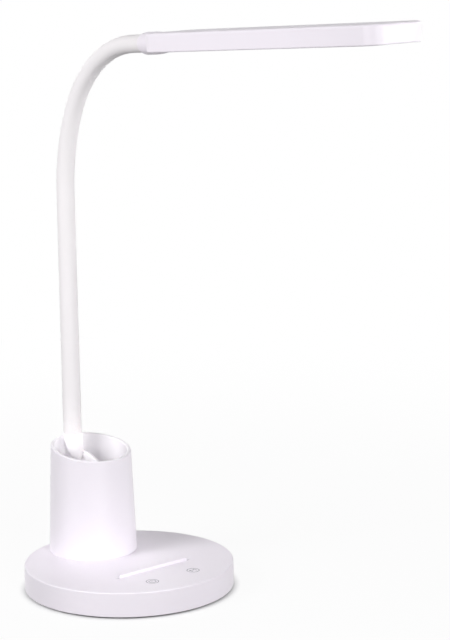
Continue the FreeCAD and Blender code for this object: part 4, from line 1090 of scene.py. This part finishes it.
# ---- gooseneck --------------------------------------------------------------------------------------
@dataclass
class Gooseneck:
    """The neck's centre line, its silicone sleeve and the wound hose inside it."""

    y: float = NECK_Y
    start_z: float = COLLAR_TOP_Z
    straight_z: float = 241.3
    bends: tuple[Pair, ...] = ((132.0, 22.3), (77.5, 33.3), (67.6, 30.1))  # radius and degrees
    end_run: float = 8.6
    overhang: float = 2.3
    root_r: float = 5.88
    head_r: float = 5.37
    bore_r: float = 4.9
    first_pivot: float = 14.0
    last_pivot_back: float = 16.0
    bodies: tuple[str, ...] = ("base", "neck_link_1", "neck_link_2", "neck_link_3", "neck_link_4",
                               "neck_link_5", "head")
    segments: int = 56
    ring_step: float = 1.6
    bend_reach: float = 17.0
    bend_margin: float = 1.0
    end_crease: float = 40.0

    def stretches(self) -> list[Pair]:
        """The neck's stretches as (length, radius); a straight one has the radius 0."""
        arcs = [(radius * math.radians(turn), radius) for radius, turn in self.bends]
        return [(self.straight_z - self.start_z, 0.0), *arcs, (self.end_run, 0.0)]

    def length(self) -> float:
        """The neck's length from the collar to the head."""
        return sum(length for length, _ in self.stretches())

    def station(self, s: float) -> tuple[Vector, Vector]:
        """The centre line's point and direction at a length above the collar.

        Args:
            s: The length in millimetres.

        Returns:
            The point in millimetres, and the unit direction.
        """
        y, z, lean, left = self.y, self.start_z, 0.0, s
        rows = self.stretches()
        for index, (length, radius) in enumerate(rows):
            run = left if index == len(rows) - 1 or left < length else length
            if radius:
                turn = run / radius
                y -= radius * (math.cos(lean) - math.cos(lean + turn))
                z += radius * (math.sin(lean + turn) - math.sin(lean))
                lean += turn
            else:
                y -= run * math.sin(lean)
                z += run * math.cos(lean)
            left -= run
            if left <= 0.0:
                break
        return Vector((0.0, y, z)), Vector((0.0, -math.sin(lean), math.cos(lean)))

    def pivots(self) -> list[float]:
        """Where the neck's bodies are joined.

        Returns:
            The joints' places, as lengths above the collar.
        """
        joints = len(self.bodies) - 1
        last = self.length() - self.last_pivot_back
        return [self.first_pivot + (last - self.first_pivot) * i / (joints - 1) for i in range(joints)]

    def build(self, dresser: Dresser) -> None:
        """Make and dress the sleeve and the hose.

        Args:
            dresser: Gives the pieces their finishes and bodies.
        """
        marks = self.pivots()
        halves = [(a + b) / 2 for a, b in zip(marks, marks[1:])]
        spans = list(zip([0.0, *halves], [*halves, self.length() + self.overhang]))
        stands_for = ["sleeve_root", *(f"sleeve_link_{i}" for i in range(1, 6)), "sleeve_head"]
        for index, (start, end) in enumerate(spans):
            piece = self.sleeve(f"sleeve_{index + 1}", start, end)
            dresser.finish(piece, "white_silicone")
            before, after = self.bodies[index], self.bodies[index + 1]
            room = min(marks[index] - start, end - marks[index]) - self.bend_margin
            reach = min(self.bend_reach, room)
            low, _ = self.station(marks[index] - reach)
            high, _ = self.station(marks[index] + reach)
            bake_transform(piece)
            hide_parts(*stands_for[index:index + 2])
            LOG.info("%s: bends between %s and %s", piece.name, before, after)
        links = range(1, len(self.bodies) - 1)
        dresser.carry("hose_root", *(f"hose_link_{i}" for i in links), "hose_head",
                      *(f"lead_link_{i}" for i in links), "lead_head")

    def ring(self, s: float, radius: float) -> Ring:
        """A ring round the centre line.

        Args:
            s: Its length above the collar.
            radius: Its radius.

        Returns:
            The ring, square to the centre line.
        """
        centre, heading = self.station(s)
        side = Vector((1.0, 0.0, 0.0))
        other = heading.cross(side)
        turns = (2 * math.pi * i / self.segments for i in range(self.segments))
        return [centre + (side * math.cos(t) + other * math.sin(t)) * radius for t in turns]

    def sleeve(self, name: str, start: float, end: float) -> bpy.types.Object:
        """One stretch of the sleeve, a tube whose normals run on into its neighbours'.

        Args:
            name: The piece's name.
            start: Where it starts, along the neck.
            end: Where it ends.

        Returns:
            The piece.
        """
        count = max(2, round((end - start) / self.ring_step))
        marks = [start + (end - start) * i / count for i in range(count + 1)]
        total = self.length()
        radii = [self.root_r + (self.head_r - self.root_r) * s / total for s in marks]
        rings = [self.ring(s, r) for s, r in zip(marks, radii)]
        rings += [self.ring(s, self.bore_r) for s in reversed(marks)]
        piece = Bench.skin(name, rings, looped=True)
        mesh = piece.data
        mesh.polygons.foreach_set("use_smooth", [True] * len(mesh.polygons))
        mesh.set_sharp_from_angle(angle=math.radians(self.end_crease))
        self._set_normals(mesh, marks)
        return piece

    def _set_normals(self, mesh: bpy.types.Mesh, marks: Sequence[float]) -> None:
        """Give the outside of a stretch its true normals, so that no seam shows where stretches meet.

        Args:
            mesh: The stretch's mesh, whose first rings are its outside.
            marks: Where those rings are along the neck.
        """
        outside = len(marks) * self.segments
        outward = {}
        for index, s in enumerate(marks):
            centre, _ = self.station(s)
            for j in range(self.segments):
                number = index * self.segments + j
                outward[number] = (mesh.vertices[number].co - centre * MM).normalized()
        normals = []
        for face in mesh.polygons:
            on_outside = all(v < outside for v in face.vertices)
            for loop in face.loop_indices:
                vertex = mesh.loops[loop].vertex_index
                normals.append(outward[vertex] if on_outside else face.normal.copy())
        mesh.normals_split_custom_set(normals)


# ---- head -------------------------------------------------------------------------------------------
@dataclass
class LampHead:
    """The slim light head with its ferrule, in a flat frame of its own: -Y to the tip, +Z up."""

    tilt: float = 4.3
    near: float = 23.6
    far: float = 215.7
    half: float = 20.0
    corner: float = 8.7
    bottom: float = -4.7
    top: float = 6.4
    edge_round: float = 1.5
    foot_round: float = 0.9
    near_soft: float = 0.8
    wall: float = 1.8
    roof: float = 1.6
    frame_thick: float = 1.5
    frame_gap: float = 0.15
    lip_thick: float = 1.2
    lip_high: float = 2.4
    lip_notch_half: float = 6.7
    lip_notch_play: Pair = (2.4, 0.5)  # behind the lip and ahead of it
    window: tuple[float, ...] = (15.5, 56.8, 210.7, 4.5)  # half width, near, far, corner
    window_chamfer: float = 0.15
    edge_soft: float = 0.2
    panel_thick: float = 2.4
    panel_gap: float = 0.05
    panel_ledge: float = 1.1
    ferrule_start: float = 2.3
    ferrule_start_r: float = 5.6
    ferrule_r: float = 6.7
    ferrule_flare: float = 4.5
    nose_start: float = 12.6
    nose_end: float = 27.2
    nose_r: float = 3.8
    hose_r: float = HOSE_SEAT_R
    lead_r: float = 1.2
    lead_bore: Pair = (15.0, 50.0)  # start and end
    slab_half: float = 12.0
    neck_half: float = 3.0
    neck_low: Pair = (-29.8, -2.0)  # y of its far end and its underside
    notch_play: float = 0.05
    tang: tuple[Triple, Triple] = ((-6.4, -43.8, -1.0), (6.4, -27.8, 2.0))  # two corners
    tang_screw_x: float = 3.8
    tang_hole: Pair = (-3.0, 4.0)  # bottom and top
    screws: Pair = (12.5, 36.8)  # x of the frame's pair, and distance of both pairs
    hole_r: float = 1.05
    seat_r: float = 1.85
    seat_deep: float = 0.7
    boss_r: float = 2.2
    standoffs: tuple[float, ...] = (70.8, 132.8, 194.8)
    standoff_high: float = 1.1

    def build(self, dresser: Dresser, end: Vector) -> None:
        """Make and dress the head's pieces.

        Args:
            dresser: Gives the pieces their finishes and bodies.
            end: The neck's end, in millimetres.
        """
        place = Matrix.Translation(end * MM) @ Matrix.Rotation(math.radians(-self.tilt), 4, "X")
        # The panel's place stays out of its mesh: its finish finds the LEDs in the head's own frame.
        panel = self.panel()
        panel.matrix_world = place
        dresser.fit(panel, "frosted_panel", "head", "diffuser")
        shells = ((self.ferrule(), "neck_ferrule"), (self.housing(), "head_housing"),
                  (self.frame(), "head_frame"))
        for piece, node in shells:
            piece.data.transform(place)
            dresser.fit(piece, "white_head", "head", node)
        dresser.carry("tang_screws", "frame_screws", "led_board", "leds", "led_screws", "reflector")

    def level(self, inset: float, z: float, near_extra: float = 0.0) -> Ring:
        """The head's outline, a given distance inside it, at a height."""
        return Bench.rounded(self.half - inset, self.near + inset + near_extra, self.far - inset,
                             self.corner - inset, z, 14)

    def housing(self) -> bpy.types.Object:
        """The upper housing: a long tray, open below, with a rounded top edge.

        Returns:
            The piece, in the head's own frame.
        """
        under = self.top - self.roof
        rings = [self.level(self.wall, under), self.level(self.wall, self.bottom)]
        for i in range(9):
            turn = math.radians(90.0 - 11.25 * i)
            z = self.bottom + self.foot_round * (1 - math.sin(turn))
            rings.append(self.level(self.foot_round * (1 - math.cos(turn)), z, self._near_round(z)))
        for i in range(13):
            turn = math.radians(7.5 * i)
            z = self.top - self.edge_round * (1 - math.sin(turn))
            rings.append(self.level(self.edge_round * (1 - math.cos(turn)), z, self._near_round(z)))
        body = Bench.skin("head_shell", rings)
        Bench.joined(body, self._bosses(under), Cut.ADD)
        side = self.neck_half + self.notch_play
        notch = Bench.block("notch", (-side, -self.near - self.wall - 0.2, self.bottom - THROUGH),
                            (side, -self.near + THROUGH, side))
        Bench.joined(body, [notch], Cut.TAKE)
        Bench.smooth(body)
        return body

    def _near_round(self, z: float) -> float:
        """How much further in the near end is at a height, for the softer edges it has."""
        short = max(0.0, self.near_soft - min(z - self.bottom, self.top - z))
        return self.near_soft - math.sqrt(self.near_soft ** 2 - short ** 2)

    def _bosses(self, under: float) -> list[bpy.types.Object]:
        """The bosses for the screws and the standoffs of the LED board.

        Args:
            under: The height of the housing's ceiling.

        Returns:
            The forms to join to the housing.
        """
        across, along = self.screws
        tang_top = self.tang[1][2]
        rows = [(tang_top, side * self.tang_screw_x, -along) for side in (-1, 1)]
        rows += [(self.bottom + self.frame_thick, side * across, -along) for side in (-1, 1)]
        rows += [(under - self.standoff_high, 0.0, -y) for y in self.standoffs]
        return [Bench.post("boss", self.boss_r, foot, under + OVERLAP, x, y) for foot, x, y in rows]

    def frame(self) -> bpy.types.Object:
        """The lower frame with its window and a lip inside the housing's wall.

        Returns:
            The piece, in the head's own frame.
        """
        inset = self.wall + self.frame_gap
        floor = self.bottom + self.frame_thick
        lip = floor + self.lip_high
        soft = self.edge_soft
        rings = [self.level(inset + self.lip_thick, floor), self.level(inset + self.lip_thick, lip),
                 self.level(inset, lip), self.level(inset, self.bottom + soft),
                 self.level(inset + soft, self.bottom)]
        plate = Bench.skin("head_frame_plate", rings)
        chamfer = self.window_chamfer
        flare = [(0.0, floor + THROUGH), (0.0, self.bottom + chamfer), (chamfer, self.bottom),
                 (chamfer + OVERLAP, self.bottom - OVERLAP)]
        window = Bench.skin("window", self._window_rings(flare))
        behind, ahead = self.lip_notch_play
        notch = Bench.block("notch", (-self.lip_notch_half, -self.near - inset - behind, floor),
                            (self.lip_notch_half, -self.near - ahead, lip + THROUGH))
        across, along = self.screws
        sink = (self.seat_r, self.bottom - THROUGH, self.bottom + self.seat_deep)
        bore = (self.hole_r, self.bottom, floor + THROUGH)
        seats = []
        for x in (-across, across):
            seats.append(Bench.post("seat", *sink, x, -along))
            seats.append(Bench.post("hole", *bore, x, -along, Bench.pilot_points))
        Bench.joined(plate, [window, notch, *seats], Cut.TAKE)
        Bench.smooth(plate)
        return plate

    def _window_rings(self, levels: Sequence[Pair]) -> list[Ring]:
        """The window's outline, grown by an amount at each height."""
        half, near, far, corner = self.window
        return [Bench.rounded(half + g, near - g, far + g, corner + g, z, 10) for g, z in levels]

    def panel(self) -> bpy.types.Object:
        """The frosted panel: it fills the window and lies on the frame with a ledge all round.

        Returns:
            The piece, in the head's own frame.
        """
        floor = self.bottom + self.frame_thick
        top = self.bottom + self.panel_thick
        gap, ledge, chamfer = self.panel_gap, self.panel_ledge, self.window_chamfer
        levels = [(-gap - chamfer, self.bottom), (-gap, self.bottom + chamfer), (-gap, floor), (ledge, floor),
                  (ledge, top)]
        piece = Bench.skin("frosted_pane", self._window_rings(levels))
        Bench.smooth(piece)
        return piece

    def ferrule(self) -> bpy.types.Object:
        """The bullet-shaped end piece of the neck, with the tang that fixes it in the head.

        Returns:
            The piece, in the head's own frame.
        """
        rise = self.ferrule_r - self.ferrule_start_r
        flare_r = (self.ferrule_flare ** 2 + rise ** 2) / (2 * rise)
        profile = []
        for i in range(9):
            back = self.ferrule_flare * (1 - i / 8)
            along = self.ferrule_start + self.ferrule_flare - back
            profile.append((self.ferrule_r - flare_r + math.sqrt(flare_r ** 2 - back ** 2), along))
        reach = self.nose_end - self.nose_start
        for i in range(17):
            turn = math.radians(90.0 * i / 16)
            profile.append((self.nose_r + (self.ferrule_r - self.nose_r) * math.cos(turn),
                            self.nose_start + reach * math.sin(turn)))
        profile += [(self.lead_r, self.nose_end), (self.lead_r, self.nose_start),
                    (self.hose_r, self.nose_start), (self.hose_r, self.ferrule_start)]
        body = Bench.skin("ferrule", [self._round_about_y(r, along) for r, along in profile], looped=True)
        slab = Bench.block("slab", (-self.slab_half, -self.nose_end - THROUGH, self.bottom),
                           (self.slab_half, -self.near, self.top))
        Bench.joined(body, [slab], Cut.TAKE)
        neck = Bench.block("neck", (-self.neck_half, *self.neck_low),
                           (self.neck_half, -self.near + 2.0, self.neck_half))
        tang = Bench.block("tang", *self.tang)
        Bench.joined(body, [neck, tang], Cut.ADD)
        bore = Bench.skin("bore", [self._round_about_y(self.lead_r, y) for y in self.lead_bore])
        holes = [Bench.post("hole", self.hole_r, *self.tang_hole, x, -self.screws[1], Bench.pilot_points)
                 for x in (-self.tang_screw_x, self.tang_screw_x)]
        Bench.joined(body, [bore, *holes], Cut.TAKE)
        Bench.smooth(body)
        return body

    @staticmethod
    def _round_about_y(radius: float, along: float) -> Ring:
        """A ring about the head's long axis.

        Args:
            radius: Its radius.
            along: How far towards the tip it is.

        Returns:
            The ring.
        """
        count = 64
        turns = (2 * math.pi * i / count for i in range(count))
        return [Vector((radius * math.cos(t), -along, radius * math.sin(t))) for t in turns]


# ---- studio -----------------------------------------------------------------------------------------
@dataclass(frozen=True)
class SoftBox:
    """A soft square light, with a grid in front of it where its spread is small."""

    name: str
    place: Triple
    aim: Triple
    size: float
    power: float
    spread: float = 180.0
    glossy: bool = True

    def build(self) -> None:
        """Add the light to the scene."""
        light = bpy.data.lights.new(self.name, "AREA")
        light.shape = "SQUARE"
        light.size = self.size
        light.energy = self.power
        light.spread = math.radians(self.spread)
        lamp = bpy.data.objects.new(self.name, light)
        direction = Vector(self.aim) - Vector(self.place)
        lamp.location = self.place
        lamp.rotation_euler = direction.to_track_quat("-Z", "Y").to_euler()
        lamp.visible_camera = False
        lamp.visible_glossy = self.glossy
        bpy.context.scene.collection.objects.link(lamp)


# Points that the lights are aimed at, in metres.
LAMP_MIDDLE: Triple = (0.0, -0.08, 0.17)
CUP_MOUTH: Triple = (0.0, 0.04, 0.086)


@dataclass
class Studio:
    """The pale floor, the surrounding light, the soft boxes and the camera."""

    camera_place: Triple = (-0.8549, -1.0980, 0.4523)
    forward: Triple = (0.6358, 0.7454, -0.2004)
    up: Triple = (0.1422, 0.1420, 0.9796)
    lens: float = 130.93
    sensor: float = 36.0
    clip: Pair = (0.05, 50.0)  # nearest and farthest seen
    floor_z: float = -0.0001
    floor_radii: tuple[float, ...] = (0.05, 0.2, 0.5, 1.0, 1.6, 2.4)
    floor_points: int = 96
    floor_tones: Pair = (0.80, 0.77)  # of its lighter and darker clouds
    contact: Pair = (0.062, 0.070)  # distances between which the contact shadow ends
    fade: Pair = (0.18, 0.75)  # distances between which the soft shadow ends
    near_white: float = 0.94
    world_strength: float = 0.09
    boxes: tuple[SoftBox, ...] = (
        SoftBox("key_left", (-1.38, 0.17, 0.93), LAMP_MIDDLE, 0.75, 20.0),
        SoftBox("front_right", (-0.29, -1.63, 0.42), LAMP_MIDDLE, 0.6, 11.6),
        SoftBox("edge_right", (1.22, -1.12, 0.26), LAMP_MIDDLE, 0.6, 10.4, glossy=False),
        SoftBox("back_right", (1.03, 1.13, 0.32), LAMP_MIDDLE, 0.6, 10.0, glossy=False),
        SoftBox("back_left", (-0.15, 1.50, 0.32), LAMP_MIDDLE, 0.6, 5.0, glossy=False),
        SoftBox("head_tip", (0.68, -1.11, 0.37), (0.0, -0.24, 0.352), 0.30, 0.09, 16.0),
        SoftBox("cup_foot", (-0.12, -0.28, 0.20), (-0.02, 0.0, 0.03), 0.06, 0.19),
        SoftBox("base_middle", (-0.13, -0.16, 0.27), (-0.014, -0.006, 0.012), 0.05, 0.0026, 16.0),
        SoftBox("cup_middle", (-0.113, -0.369, 0.510), CUP_MOUTH, 0.02, 0.0006, 3.5),
        SoftBox("cup_right", (-0.444, 0.005, 0.487), CUP_MOUTH, 0.02, 0.0004, 3.5),
    )

    def build(self) -> None:
        """Add the floor, the light and the camera to the scene."""
        self._floor()
        self._world()
        for box in self.boxes:
            box.build()
        self._camera()
        bpy.context.scene.view_settings.view_transform = "Standard"
        LOG.info("studio: floor, %d soft boxes and a camera", len(self.boxes))

    @staticmethod
    def _seen_directly(tree: ShaderTree) -> Signal:
        """Which rays look straight, or through gloss or glass, at what is behind the lamp.

        Args:
            tree: The nodes of the floor or the world.

        Returns:
            1 for such rays and 0 for the light that bounces.
        """
        rays = tree.node("ShaderNodeLightPath", {}, {}).outputs
        kinds = [Signal(tree, rays[name]) for name in ("Is Camera Ray", "Is Glossy Ray", "Is Transmission Ray")]
        return kinds[0].most(kinds[1]).most(kinds[2])

    def _floor(self) -> None:
        """A level floor that fades to plain white away from the lamp and keeps its soft shadow near it."""
        work = bmesh.new()
        rows = [[work.verts.new(p) for p in Bench.circle(r, self.floor_z, count=self.floor_points)]
                for r in self.floor_radii]
        for low, high in zip(rows, rows[1:]):
            for i in range(self.floor_points):
                j = (i + 1) % self.floor_points
                work.faces.new((low[i], high[i], high[j], low[j]))
        work.faces.new(rows[0])
        mesh = bpy.data.meshes.new("floor")
        work.to_mesh(mesh)
        work.free()
        floor = bpy.data.objects.new("floor", mesh)
        bpy.context.scene.collection.objects.link(floor)
        mesh.materials.append(self._floor_material())

    def _floor_material(self) -> bpy.types.Material:
        """White where it is looked at, matt in the base's contact shadow, and dim in the light it sends back.

        Returns:
            The floor's material.
        """
        material = bpy.data.materials.new("pale_floor")
        material.use_nodes = True
        tree = ShaderTree(material.node_tree)
        x, y, _ = tree.axes()
        away = (x * x + y * y) ** 0.5
        seen = self._seen_directly(tree)
        light, dark = ((tone, tone, tone + 0.01) for tone in self.floor_tones)
        pale = tree.blended(light, dark, tree.noise(9.0, 3.0))
        tint = tree.blended((0.20, 0.20, 0.20), pale, seen)
        matt = tree.node("ShaderNodeBsdfDiffuse", {}, {"Color": tint})
        white = tree.node("ShaderNodeEmission", {}, {"Color": (1.0, 1.0, 1.0, 1.0), "Strength": 1.0})
        near = away.eased(*self.contact) * self.near_white
        share = seen * (near + away.eased(*self.fade) * (1.0 - self.near_white))
        both = tree.node("ShaderNodeMixShader", {}, {0: share, 1: matt.outputs[0], 2: white.outputs[0]})
        tree.node("ShaderNodeOutputMaterial", {}, {"Surface": both.outputs[0]})
        return material

    def _world(self) -> None:
        """White where it is looked at, and a softer even light on the lamp."""
        world = bpy.data.worlds.new("studio")
        bpy.context.scene.world = world
        world.use_nodes = True
        tree = ShaderTree(world.node_tree)
        around = tree.node("ShaderNodeBackground", {},
                           {"Color": (1.0, 0.99, 1.0, 1.0), "Strength": self.world_strength})
        white = tree.node("ShaderNodeBackground", {}, {"Color": (1.0, 1.0, 1.0, 1.0), "Strength": 1.0})
        both = tree.node("ShaderNodeMixShader", {},
                         {0: self._seen_directly(tree), 1: around.outputs[0], 2: white.outputs[0]})
        tree.node("ShaderNodeOutputWorld", {}, {"Surface": both.outputs[0]})

    def _camera(self) -> None:
        """The camera, looking down at the lamp from the front left."""
        data = bpy.data.cameras.new("camera")
        data.lens = self.lens
        data.sensor_width = self.sensor
        data.clip_start, data.clip_end = self.clip
        camera = bpy.data.objects.new("camera", data)
        back = -Vector(self.forward).normalized()
        right = Vector(self.up).cross(back).normalized()
        up = back.cross(right)
        turn = Matrix((right, up, back)).transposed().to_4x4()
        camera.matrix_world = Matrix.Translation(self.camera_place) @ turn
        bpy.context.scene.collection.objects.link(camera)
        bpy.context.scene.camera = camera


def main() -> None:
    """Load the part, build every sub-assembly around it and the studio."""
    logging.basicConfig(level=logging.INFO, format="%(name)s: %(message)s")
    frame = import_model()
    dresser = Dresser(frame["nodes"], frame["record"], finishes())
    neck = Gooseneck()
    Base().build(dresser)
    PenCup().build(dresser)
    neck.build(dresser)
    LampHead().build(dresser, neck.station(neck.length())[0])
    Studio().build()


if __name__ == "__main__":
    main()
